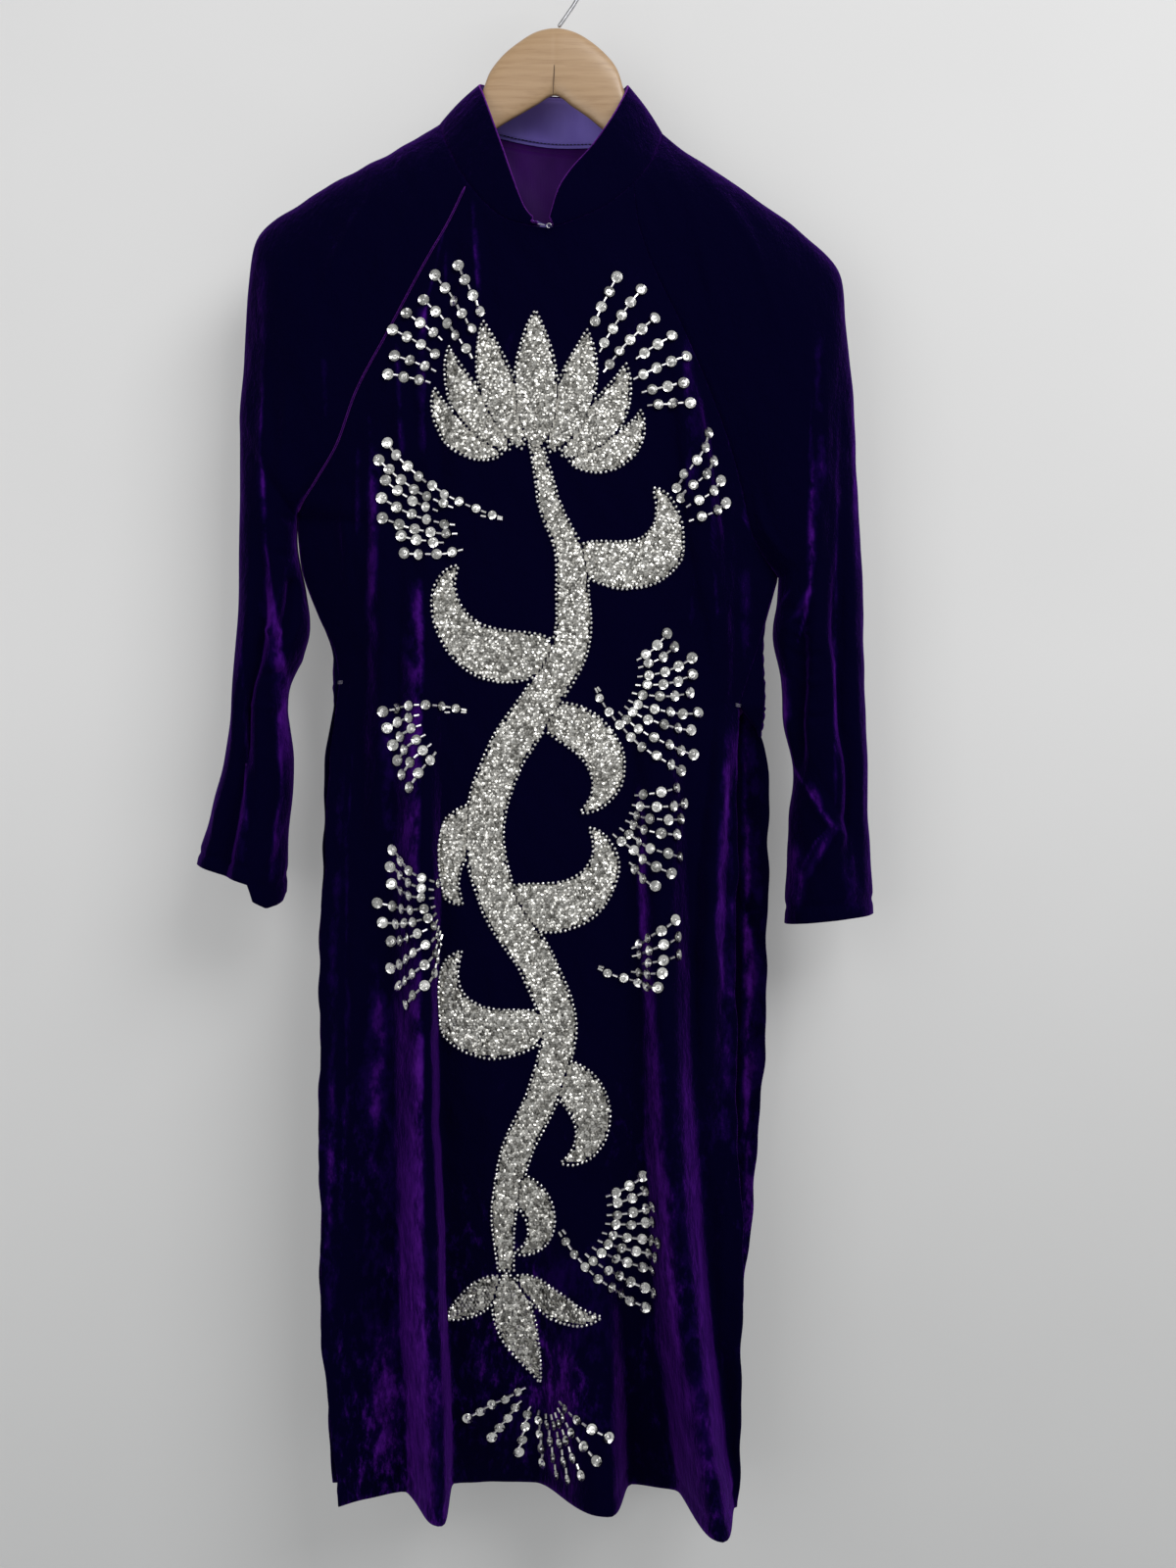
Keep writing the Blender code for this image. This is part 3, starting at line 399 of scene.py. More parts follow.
def tableCurve(rows, steps):
    # A table's columns at even places along it, by the mean distance between its rows' points.
    points = np.asarray(rows, float)
    points = points[:, : points.shape[1] // 3 * 3].reshape(len(rows), -1, 3)
    gaps = np.linalg.norm(np.diff(points, axis=0), axis=2).mean(axis=1)
    lengths = np.concatenate([[0.0], np.cumsum(gaps)])
    return splineThrough(lengths, rows, np.linspace(0, lengths[-1], steps + 1)) * mm


def atHeight(rows, z):
    # Straight-line reading of a table whose first column is a falling height.
    heights, *columns = np.asarray(rows, float)[::-1].T
    return [np.interp(z / mm, heights, column) * mm for column in columns]


def neckCurve(first, last, count):
    # The collar's foot between two rows of its table, carried round the loop past either end, less
    # the seam's gap.
    foot = np.asarray(collarShape["rows"], float)[:, :3]
    loop = np.concatenate([foot[-5:], foot, foot[:5]])
    knots = np.arange(-5, len(foot) + 5, dtype=float)
    line = splineThrough(knots, loop, np.linspace(first, last, 900)) * mm
    return evenPoints(line, count) - np.array([0, 0, clothShape["neckGap"] * mm])


def smoothStep(t):
    # 3t^2 - 2t^3 between 0 and 1.
    t = np.clip(t, 0, 1)
    return t * t * (3 - 2 * t)


def meetNeck(grid, down, neck):
    # Moves the top rows onto the neck's curve, by a share that falls off with the square.
    fade = np.clip(1 - down / (clothShape["neckBlend"] * mm), 0, 1) ** 2
    return grid + fade[:, None, None] * (neck - grid[0])


def foldBulge(x, z, fold):
    # cos^2 of the distance from the crest over the flank's width, with a broadened crest.
    crest, rightWidth, leftWidth, depth, lean = atHeight(fold, z)
    away = np.clip(np.abs(x - crest) / np.where(x < crest, rightWidth, leftWidth), 0, 1)
    hump = np.cos(away ** clothShape["crestRoundness"] * math.pi / 2) ** 2
    return depth * hump, lean * hump


def panelGrid(rightEdge, leftEdge, folds, side, columns, neck):
    # Each row: the line between its edges, drawn to the middle's depth by 1 - |2u - 1|^p, plus the folds.
    share = np.linspace(0, 1, 900)
    slitTop = clothShape["slitTop"]
    rows = []
    for right, left in zip(rightEdge, leftEdge):
        line = right + (left - right) * share[:, None]
        z = line[:, 2]
        depth = atHeight(panelShape["belly"], z)[0 if side < 0 else 1]
        line[:, 1] += (depth - line[:, 1]) * (1 - np.abs(2 * share - 1) ** clothShape["bellyPower"])
        free = smoothStep((slitTop * mm - z) / (60 * mm))
        mask = np.maximum(smoothStep(np.minimum(share, 1 - share) / clothShape["maskShare"]), free)
        crossing = line[:, 0].copy()
        for fold in folds:
            depth, lean = foldBulge(crossing, z, fold)
            line[:, 1] += side * depth * mask
            line[:, 0] += lean * mask
        if side > 0:
            wraps = atHeight(panelShape["wrap"], z)
            for sign, wrap, inward in ((-1, wraps[0], share), (1, wraps[1], 1 - share)):
                line[:, 0] += sign * wrap * np.sin(np.clip(inward / clothShape["wrapShare"], 0, 1) * math.pi)
        rows.append(evenPoints(line, columns + 1))
    grid = np.array(rows)

    # The slit edges wander a little: three sine waves down each edge, felt only near it.
    z = grid[..., 2] / mm
    wander = np.sin(z / 23 + 1) + 0.7 * np.sin(z / 10.7 + side) + 0.5 * np.sin(z / 6.1)
    nearEdge = np.abs(np.linspace(-1, 1, columns + 1))[None, :] ** 12
    grid[..., 0] += wander * nearEdge * smoothStep((slitTop - 15 - z) / 60) * clothShape["edgeWave"] / 2 * mm
    return meetNeck(grid, runningLength(grid.mean(axis=1)), neck)


def sleeveGrid(shoulderRows, tubeRows, folds, neck):
    # place is -1 at the front seam, 0 on the shoulder line and 1 at the back seam. Open sections are
    # quarter waves down to the armpit, and the tube below is half waves that close on the inner edge.
    columns, tubeSteps, steps = sleeveShape["columns"], sleeveShape["tubeSteps"], clothShape["raglanSteps"]
    shoulder = tableCurve(shoulderRows, steps)[:, None]
    tube = tableCurve(tubeRows, tubeSteps)[1:, None]
    place = np.linspace(-1, 1, columns + 1)
    isFront = (place < 0)[None, :, None]
    turn = np.abs(place)[None, :, None] * math.pi
    seam = np.where(isFront, shoulder[..., 0:3], shoulder[..., 6:9])
    ridge = shoulder[..., 3:6]
    half = (1 - np.cos(turn)) / 2
    closing = smoothStep((np.linspace(0, 1, steps + 1) - 0.6) / 0.4)[:, None, None]
    top = ridge + (seam - ridge) * ((1 - np.cos(turn / 2)) * (1 - closing) + half * closing)
    sway = np.sin(turn / 2) * (1 - closing) + half * closing
    top[..., 1] = (ridge + (seam - ridge) * sway)[..., 1]
    low = tube[..., 3:6] + (tube[..., 0:3] - tube[..., 3:6]) * half
    side = np.where(isFront, -1.0, 1.0)
    top[..., 1] += (side * shoulder[..., 9:10] * np.sin(turn))[..., 0]
    low[..., 1] += (side * tube[..., 6:7] * np.sin(turn))[..., 0]
    grid = np.concatenate([top, low])
    along = np.linspace(0, 1, tubeSteps + 1)[1:]
    shares = np.concatenate([np.linspace(-0.7, 0, steps + 1), along])[:, None]
    middle = (grid[:, columns // 2] + grid[:, 0]) / 2
    inward = unit(middle[:, None] - grid)
    for start, end, firstPlace, lastPlace, width, depth in folds:
        run = (shares - start) / (end - start)
        centre = firstPlace + (lastPlace - firstPlace) * np.clip(run, 0, 1)
        window = smoothStep(run * 4) * smoothStep((1 - run) * 4)
        dip = np.cos(np.clip((place[None, :] - centre) / width, -1, 1) * math.pi / 2) ** 2
        grid = grid + inward * (dip * window * depth * mm)[..., None]
    return meetNeck(grid, runningLength(grid[:, columns // 2]), neck)


def gridNormals(grid, closedFrom=None):
    # Cross product of the steps down and across the grid.
    across = np.gradient(grid, axis=1)
    if closedFrom is not None:
        across[closedFrom:, [0, -1]] = (grid[closedFrom:, 1] - grid[closedFrom:, -2])[:, None] / 2
    return unit(np.cross(np.gradient(grid, axis=0), across))


def facingShare(normals, facing):
    # 1 where the cloth looks forward (facing -1) or back (facing 1), 0 where it looks away.
    return smoothStep(normals[..., 1] * facing * 2.5)


def creaseHeight(grid, normals, creases, facing):
    # Each crease: height times exp(-(distance to its line / half width)^2), only where the cloth
    # faces the crease's side, and fading towards the line's two ends.
    flat = grid[..., [0, 2]].reshape(-1, 2)
    total = np.zeros(len(flat))
    for width, height, *line in creases:
        points = np.array(line, float).reshape(-1, 2)
        knots = runningLength(points)
        fine = splineThrough(knots, points, np.linspace(0, knots[-1], 26)) * mm
        lengths = runningLength(fine)
        margin = 4 * width * mm
        close = np.all((flat > fine.min(axis=0) - margin) & (flat < fine.max(axis=0) + margin), axis=1)
        spots = flat[close]
        best, where = np.full(len(spots), np.inf), np.zeros(len(spots))
        for k, step in enumerate(np.diff(fine, axis=0)):
            share = np.clip((spots - fine[k]) @ step / (step @ step), 0, 1)
            gap = np.linalg.norm(spots - fine[k] - share[:, None] * step, axis=1)
            closer = gap < best
            best = np.where(closer, gap, best)
            where = np.where(closer, (lengths[k] + share * np.linalg.norm(step)) / lengths[-1], where)
        fade = smoothStep(where * 2) * smoothStep((1 - where) * 2)
        total[close] += height * mm * np.exp(-((best / (width * mm)) ** 2)) * fade
    return total.reshape(grid.shape[:2]) * facingShare(normals, facing)


def bandGlow(grid, normals, bands, facing):
    # Each painted highlight band: strength times exp(-(distance across from its line / width)^2), with a
    # width of its own on either side, fading over the first and last quarter of its height.
    x, z = grid[..., 0] / mm, grid[..., 2] / mm
    total = np.zeros(x.shape)
    for lowWidth, highWidth, strength, *line in bands:
        line = np.array(line, float).reshape(-1, 2)
        line = line[np.argsort(line[:, 1], kind="stable")]
        away = x - np.interp(z, line[:, 1], line[:, 0])
        share = (z - line[0, 1]) / (line[-1, 1] - line[0, 1])
        fade = smoothStep(share * 4) * smoothStep((1 - share) * 4)
        total += strength * np.exp(-((away / np.where(away < 0, lowWidth, highWidth)) ** 2)) * fade
    return total * facingShare(normals, facing)


def softRipple(grid, height, scale, seed):
    # A sum of eight slanted sine waves, which leaves no stretch of cloth quite smooth.
    waves = np.random.default_rng(seed)
    total = np.zeros(grid.shape[:2])
    for _ in range(8):
        lengthwise, crosswise = waves.uniform(0.25, 0.7), waves.uniform(0.8, 2.2)
        phase, lean = waves.uniform(0, 2 * math.pi), waves.uniform(-0.6, 0.6)
        x = grid[..., 0] + lean * grid[..., 2]
        total += np.sin((x * crosswise + grid[..., 2] * lengthwise) / scale * 2 * math.pi + phase)
    return total * height / 8


def trimEdge(grid, rows, column, distance):
    # Moves an edge back along its own rows, which opens a seam's gap.
    beside = 1 if column == 0 else -2
    grid[rows, column] += unit(grid[rows, beside] - grid[rows, column]) * distance


def joinNormals(first, second):
    # Both walls lean along the line halfway between them.
    shared = unit(first + second)
    for normals in (first, second):
        normals[:] = shared / np.maximum(np.sum(shared * normals, axis=1, keepdims=True), 0.5)


def addObject(name, data):
    thing = bpy.data.objects.new(name, data)
    bpy.context.collection.objects.link(thing)
    return thing


def newMesh(name, points, faces, materials):
    # A mesh from whole arrays of points and faces.
    mesh = bpy.data.meshes.new(name)
    mesh.from_pydata(np.asarray(points).tolist(), [], faces if isinstance(faces, list) else faces.tolist())
    for material in materials:
        mesh.materials.append(material)
    return mesh


def meshPiece(name, points, faces, materials, faceMaterial=None, smooth=True):
    mesh = newMesh(name, points, faces, materials)
    mesh.polygons.foreach_set("use_smooth", np.full(len(mesh.polygons), smooth))
    if faceMaterial is not None:
        mesh.polygons.foreach_set("material_index", np.asarray(faceMaterial, np.int32))
    mesh.update()
    piece = addObject(name, mesh)
    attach(piece, "root")
    return piece


def addNumbers(piece, name, values):
    # One number a point, which a material reads by its name.
    values = np.asarray(values, np.float32)
    piece.data.attributes.new(name, "FLOAT", "POINT").data.foreach_set("value", values)


def cellFaces(index):
    # A four-cornered face for each cell of a grid of point numbers.
    return np.stack((index[:-1, :-1], index[1:, :-1], index[1:, 1:], index[:-1, 1:]), axis=-1)


def ringed(index):
    # The first column once more at the end, which closes a ring.
    return np.concatenate([index, index[:, :1]], axis=1)


def tubeFaces(index):
    # The faces round a tube's rings, turned to point outwards, and its two ends.
    around = cellFaces(ringed(index))[..., [0, 3, 2, 1]].reshape(-1, 4)
    return around.tolist() + [index[0][::-1].tolist(), index[-1].tolist()]


def clothPiece(name, outer, normals, wall, materials, closedFrom=None, napAndPaintedSheen=None, turnedIn=None):
    # Outer face, the same face one wall further in, and a rim of two faces that rounds each open edge.
    rows, columns = outer.shape[:2]
    index = np.arange(rows * columns).reshape(rows, columns)
    if closedFrom is not None:
        index[closedFrom:, -1] = index[closedFrom:, 0]
    used, index = np.unique(index, return_inverse=True)
    index = index.reshape(rows, columns)
    below, count = index + len(used), 2 * len(used)
    points = [face.reshape(-1, 3)[used] for face in (outer, outer - normals * wall)]
    faces = cellFaces(index).reshape(-1, 4)
    allFaces = [faces, faces[:, ::-1] + len(used)]
    inside = np.ones((rows - 1, columns - 1))
    if turnedIn is not None:
        # The velvet is turned in along the slits and along the lower edge.
        firstRow, width = turnedIn
        inside[firstRow:, :width] = inside[firstRow:, -width:] = 0
        inside[-width // 2 :] = 0
    marks = [np.zeros(len(faces)), inside.reshape(-1)]
    across, along = unit(np.gradient(outer, axis=1)), unit(np.gradient(outer, axis=0))
    sides = slice(0, rows if closedFrom is None else closedFrom + 1)
    flat = np.concatenate(points)
    for spot, outward, turned in (
        (0, -along[0], True),
        (-1, along[-1], False),
        ((sides, 0), -across[sides, 0], False),
        ((sides, -1), across[sides, -1], True),
    ):
        upper, lower = index[spot], below[spot]
        middle = (flat[upper] + flat[lower]) / 2 + outward * wall * clothShape["rimBulge"]
        if closedFrom is not None and len(upper) == closedFrom + 1:
            middle[-1] = (flat[upper[-1]] + flat[lower[-1]]) / 2
        rim = cellFaces(np.array([upper, count + np.arange(len(middle)), lower])).reshape(-1, 4)
        count += len(middle)
        points.append(middle)
        allFaces.append(rim[:, ::-1] if turned else rim)
        marks.append(np.zeros(len(rim)))
    marks = np.concatenate(marks)
    piece = meshPiece(name, np.concatenate(points), np.concatenate(allFaces), materials, marks)
    # each point keeps its painted highlight strength, which the velvet's colour reads
    if napAndPaintedSheen is not None:
        rim = np.zeros(count - 2 * len(used))
        addNumbers(piece, "napAndPaintedSheen", np.concatenate([np.tile(napAndPaintedSheen.reshape(-1)[used], 2), rim]))
    return piece


def tubePiece(name, paths, radius, sides, material):
    # A circle carried along each path, its plane square to the path, with the ends narrowed.
    allPoints, allFaces, count = [], [], 0
    angle = np.linspace(0, 2 * math.pi, sides, endpoint=False)[None, :, None]
    for path in paths:
        ahead = unit(np.gradient(path, axis=0))
        helper = np.where(np.abs(ahead[:, 1:2]) < 0.9, [[0.0, 1, 0]], [[1.0, 0, 0]])
        aside = unit(np.cross(ahead, helper))
        up = np.cross(ahead, aside)
        taper = np.ones((len(path), 1, 1))
        taper[[0, -1]] = 0.35
        ring = aside[:, None] * np.cos(angle) + up[:, None] * np.sin(angle)
        allPoints.append((path[:, None] + ring * (radius * mm) * taper).reshape(-1, 3))
        allFaces += tubeFaces(count + np.arange(len(path) * sides).reshape(-1, sides))
        count += len(path) * sides
    return meshPiece(name, np.concatenate(allPoints), allFaces, [material])


def scatterPiece(name, shape, spots, sizes, material):
    # Copies of one small shape: each point is its centre plus the shape's three numbers along its axes,
    # and each copy keeps a random number in the attribute "glint".
    points, faces = shape
    centres, *axes = spots
    sizes = np.broadcast_to(sizes, (len(centres),))[:, None, None] * mm
    placed = sum(points[None, :, k : k + 1] * axes[k][:, None] for k in range(3))
    placed = centres[:, None] + sizes * placed
    offsets = np.arange(len(centres))[:, None, None] * len(points)
    allFaces = (faces[None] + offsets).reshape(-1, 4)
    piece = meshPiece(name, placed.reshape(-1, 3), allFaces, [material], smooth=False)
    addNumbers(piece, "glint", np.repeat(dice.random(len(centres)), len(points)))
    return piece


# Materials

def newMaterial(name):
    material = bpy.data.materials.new(name)
    material.use_nodes = True
    return material, material.node_tree, material.node_tree.nodes["Principled BSDF"]


def feed(tree, node, inputs):
    # A socket among the values is linked, and anything else is set.
    for key, value in inputs.items():
        if isinstance(value, bpy.types.NodeSocket):
            tree.links.new(value, node.inputs[key])
        else:
            node.inputs[key].default_value = value


def addNode(tree, kind, inputs, output=0, **settings):
    node = tree.nodes.new("ShaderNode" + kind)
    for key, value in settings.items():
        setattr(node, key, value)
    feed(tree, node, inputs)
    return node.outputs[output]


def objectPlace(tree):
    return addNode(tree, "TexCoord", {}, "Object")


def objectHeight(tree):
    return addNode(tree, "SeparateXYZ", {"Vector": objectPlace(tree)}, "Z")


def objectNoise(tree, scale, detail, stretch=(1, 1, 1), offset=(0, 0, 0), rough=0.55):
    # Noise on the object's own metres, squeezed or stretched along its axes.
    inputs = {"Vector": objectPlace(tree), "Scale": stretch, "Location": offset}
    inputs = {"Vector": addNode(tree, "Mapping", inputs, "Vector"), "Scale": scale}
    return addNode(tree, "TexNoise", {**inputs, "Detail": detail, "Roughness": rough}, "Fac")


def mapped(tree, value, low, high, toLow=0.0, toHigh=1.0):
    # One range moved onto another, in a straight line and cut off at its ends.
    inputs = {"Value": value, "From Min": low, "From Max": high, "To Min": toLow, "To Max": toHigh}
    return addNode(tree, "MapRange", inputs, "Result")


def combined(tree, operation, first, second):
    return addNode(tree, "Math", {0: first, 1: second}, operation=operation)


def multiplied(tree, factor, first, second):
    inputs = {"Factor": factor, 6: first, 7: second}
    return addNode(tree, "Mix", inputs, 2, data_type="RGBA", blend_type="MULTIPLY")


def bumped(tree, height, distance, strength, normal=None):
    # Adds a height's bumps to a normal.
    inputs = {"Height": height, "Distance": distance, "Strength": strength}
    if normal is not None:
        inputs["Normal"] = normal
    return addNode(tree, "Bump", inputs, "Normal")


def ramp(tree, factor, stops):
    node = tree.nodes.new("ShaderNodeValToRGB")
    feed(tree, node, {"Fac": factor})
    elements = node.color_ramp.elements
    while len(elements) < len(stops):
        elements.new(0.5)
    for element, (position, colour) in zip(elements, stops):
        element.position, element.color = position, (*colour, 1)
    return node.outputs["Color"]


def scaled(colour, share):
    # Each part of the colour times the share, 1 at most.
    return tuple(min(1.0, share * c) for c in colour)


velvetLook = {
    "deep": (0.0005, 0.0001, 0.0100),
    # mid, turned and rim are painted sheen colours, reached by the angle, the bands and the marks
    "mid": (0.0046, 0.0004, 0.0330),
    "turned": (0.042, 0.004, 0.140),
    "rim": (0.105, 0.011, 0.280),
    "sheen": 0.10,
    "sheenRoughness": 0.30,
    "sheenTint": (0.20, 0.035, 0.60),
    # noises: scale, detail, stretch, offset, roughness
    "brush": (9, 3, (1, 1, 0.30)),
    "crush": (60, 5, (1, 1, 0.55), (3, 1, 2), 0.66),
    "napAndPaintedSheen": (1500, 2),
    "strokes": (150, 6, (1, 1, 0.45), (1, 4, 2), 0.72),
    "clouds": (11, 4, (1, 1, 0.7), (5, 2, 1), 0.6),
    # height of the bumps in m, and their strength
    "brushBump": (0.0050, 1.0),
    "crushBump": (0.0030, 1.0),
    "napBump": (0.0005, 0.6),
    # what is left of the painted highlight bands at the crush's lowest and highest places
    "bandRange": (0.36, 0.64, 0.15, 1.35),
    # how much of the colour is painted sheen by the angle, by the painted highlight bands and by the crushed
    # marks; the marks are real crushed pile shown as painted sheen, growing towards the hem
    "angleShare": 0.58,
    "angleBend": 1.9,
    "bandShare": 0.44,
    "markShare": 0.52,
    "markTop": -0.82,
    "markFull": -1.06,
}
# Rolled edges: a lighter copy of the velvet, with a painted highlight along their crown where they catch the
# light.
litEdgeLook = {
    **velvetLook,
    "deep": (0.008, 0.0008, 0.030),
    "mid": (0.055, 0.007, 0.130),
    "turned": (0.095, 0.014, 0.180),
    "rim": (0.180, 0.035, 0.300),
    "angleShare": 0.95,
    "angleBend": 1.0,
}


def makeVelvet(name, look):
    # Near-black pile seen end on, with painted sheen: purple painted into the colour where the cloth turns
    # away, along the painted highlight bands and in the crushed marks. The same bumps that tilt the pile
    # also tilt the angle that the painted sheen goes by, so brushed and crushed patches show.
    material, tree, shader = newMaterial(name)
    crush = objectNoise(tree, *look["crush"])
    normal = bumped(tree, objectNoise(tree, *look["brush"]), *look["brushBump"])
    normal = bumped(tree, crush, *look["crushBump"], normal)
    normal = bumped(tree, objectNoise(tree, *look["napAndPaintedSheen"]), *look["napBump"], normal)
    facing = addNode(tree, "LayerWeight", {"Blend": 0.5, "Normal": normal}, "Facing")
    # painted highlight bands, weaker where the crush is low
    bands = addNode(tree, "Attribute", {}, "Fac", attribute_name="napAndPaintedSheen")
    bands = combined(tree, "MULTIPLY", bands, mapped(tree, crush, *look["bandRange"]))
    # the crushed marks' painted sheen grows towards the hem
    lowness = mapped(tree, objectHeight(tree), look["markTop"], look["markFull"], 0.16, 1.0)
    strokes = mapped(tree, objectNoise(tree, *look["strokes"]), 0.46, 0.66)
    clouds = mapped(tree, objectNoise(tree, *look["clouds"]), 0.40, 0.66, 0.15, 1.0)
    marks = combined(tree, "MULTIPLY", combined(tree, "MULTIPLY", strokes, clouds), lowness)
    turned = combined(tree, "POWER", facing, look["angleBend"])
    factor = combined(tree, "MULTIPLY", turned, look["angleShare"])
    for part, share in ((bands, look["bandShare"]), (marks, look["markShare"])):
        factor = combined(tree, "ADD", factor, combined(tree, "MULTIPLY", part, share))
    stops = ((0.0, "deep"), (0.10, "deep"), (0.26, "mid"), (0.54, "turned"), (0.90, "rim"))
    settings = {
        "Base Color": ramp(tree, factor, [(place, look[key]) for place, key in stops]),
        "Roughness": 0.92,
        "Specular IOR Level": 0.02,
        "Sheen Weight": look["sheen"],
        "Sheen Roughness": look["sheenRoughness"],
        "Sheen Tint": (*look["sheenTint"], 1),
        "Normal": normal,
    }
    feed(tree, shader, settings)
    return material


satinLook = {
    "violet": ((0.180, 0.130, 0.540), (0.260, 0.205, 0.700)),
    "purple": ((0.020, 0.0010, 0.058), (0.042, 0.0030, 0.115)),
    # the violet facing satin made darker for the corner behind the V: painted shade
    "shadedCorner": ((0.050, 0.040, 0.130), (0.085, 0.070, 0.190)),
    "shade": (24, 3, (1, 1, 0.5)),
    "threads": (900, 2, (1, 1, 0.08)),
    "roughness": 0.55,
    "gloss": 0.06,
}


def makeSatin(name, colours):
    # Smooth satin: fine lengthwise threads and a soft gloss.
    material, tree, shader = newMaterial(name)
    shade = objectNoise(tree, *satinLook["shade"])
    settings = {
        "Base Color": ramp(tree, shade, ((0.35, colours[0]), (0.72, colours[1]))),
        "Roughness": satinLook["roughness"],
        "Specular IOR Level": satinLook["gloss"],
        "Normal": bumped(tree, objectNoise(tree, *satinLook["threads"]), 0.0002, 0.5),
    }
    feed(tree, shader, settings)
    return material


woodLook = {
    "pale": (0.400, 0.262, 0.146),
    "dark": (0.368, 0.236, 0.127),
    "pore": (0.80, 0.76, 0.72),
    "joint": (0.050, 0.028, 0.014),
    "ring": 46,
    "pores": (620, 3, (0.06, 1, 1)),
    "roughness": 0.42,
    "lacquer": 0.25,
}


def makeWood(name, look):
    # Straight grain that runs along the hanger, with pores and a thin lacquer.
    material, tree, shader = newMaterial(name)
    place = addNode(tree, "Mapping", {"Vector": objectPlace(tree), "Scale": (0.10, 1.0, 1.0)}, "Vector")
    inputs = {"Vector": place, "Scale": look["ring"], "Distortion": 5.0, "Detail": 3.0, "Detail Scale": 1.4}
    wave = addNode(tree, "TexWave", inputs, "Fac", bands_direction="Z")
    pores = objectNoise(tree, *look["pores"])
    grain = ramp(tree, wave, ((0.15, look["pale"]), (0.95, look["dark"])))
    speck = ramp(tree, pores, ((0.34, look["pore"]), (0.50, (1, 1, 1))))
    settings = {
        "Base Color": multiplied(tree, 0.55, grain, speck),
        "Roughness": look["roughness"],
        "Coat Weight": look["lacquer"],
        "Coat Roughness": 0.25,
        "Normal": bumped(tree, pores, 0.0003, 0.35),
    }
    feed(tree, shader, settings)
    return material


# Dark and bright colour, where the ramp has them, roughness, its spread, and the scale of the wear
metalLook = {
    "chrome": ((0.4756, 0.4756, 0.492), (0.58, 0.58, 0.60), (0.3, 0.7), 0.34, (0.75, 1.35), 160),
    "sequin": ((0.20, 0.195, 0.18), (0.72, 0.71, 0.67), (0.05, 0.75), 0.28, (0.7, 1.5), 700),
    "paillette": ((0.38, 0.38, 0.37), (0.84, 0.84, 0.82), (0.05, 0.75), 0.20, (0.7, 1.5), 700),
    "bead": ((0.58, 0.58, 0.56), (0.90, 0.90, 0.88), (0.05, 0.75), 0.30, (0.7, 1.5), 700),
    "ground": (0.34, 0.33, 0.30),
}


def makeMetal(name, look, glint=True):
    # Bright metal with faint cloudy wear in its gloss. The brightness of a foil disc or a bead comes
    # from its own "glint" number, and a wire's from the wear.
    dark, bright, places, roughness, spread, scale = look
    material, tree, shader = newMaterial(name)
    haze = objectNoise(tree, scale, 2)
    shade = addNode(tree, "Attribute", {}, "Fac", attribute_name="glint") if glint else haze
    settings = {
        "Base Color": ramp(tree, shade, [*zip(places, (dark, bright))]),
        "Roughness": mapped(tree, haze, 0, 1, roughness * spread[0], roughness * spread[1]),
        "Metallic": 1.0,
    }
    feed(tree, shader, settings)
    return material


def makeGround(name, colour):
    # Grey glitter between the sequins: fine grains from light to near black, each tilted its own way.
    material, tree, shader = newMaterial(name)
    grains = addNode(tree, "TexVoronoi", {"Vector": objectPlace(tree), "Scale": 900.0}, "Color")
    shade = addNode(tree, "SeparateColor", {"Color": grains}, "Red")
    stops = ((0.1, scaled(colour, 0.22)), (0.5, colour), (0.95, scaled(colour, 1.5)))
    settings = {
        "Base Color": ramp(tree, shade, stops),
        "Roughness": 0.5,
        "Metallic": 0.35,
        "Normal": bumped(tree, shade, 0.0004, 0.8),
    }
    feed(tree, shader, settings)
    return material


def makePlain(name, colour, roughness):
    # Dull thread or filler with a faint mottle.
    material, tree, shader = newMaterial(name)
    shade = ramp(tree, objectNoise(tree, 5, 2), ((0.3, colour), (0.7, scaled(colour, 1.03))))
    feed(tree, shader, {"Base Color": shade, "Roughness": roughness})
    return material


velvet = makeVelvet("velvet", velvetLook)
# lit copy of the velvet: painted highlight on the rolled edges
litEdgeVelvet = makeVelvet("litEdgeVelvet", litEdgeLook)
violetSatin = makeSatin("violetSatin", satinLook["violet"])
purpleSatin = makeSatin("purpleSatin", satinLook["purple"])
# darker copy of the violet satin: painted shade behind the foot of the V
shadedCornerSatin = makeSatin("shadedCornerSatin", satinLook["shadedCorner"])
paleWood = makeWood("paleWood", woodLook)
chrome = makeMetal("chrome", metalLook["chrome"], glint=False)
sequinSilver = makeMetal("sequinSilver", metalLook["sequin"])
pailletteSilver = makeMetal("pailletteSilver", metalLook["paillette"])
beadSilver = makeMetal("beadSilver", metalLook["bead"])
foilGround = makeGround("foilGround", metalLook["ground"])
whiteThread = makePlain("whiteThread", (0.30, 0.28, 0.36), 0.7)
purpleThread = makePlain("purpleThread", (0.008, 0.004, 0.024), 0.7)
jointBrown = makePlain("jointBrown", woodLook["joint"], 0.6)
print("materials ready")


# The cloth

def mirrored(rows, widths):
    # The same lines for the wearer's right sleeve, after so many numbers that stay.
    return [(*row[:widths], *(v if k % 2 else -v - 6 for k, v in enumerate(row[widths:]))) for row in rows]


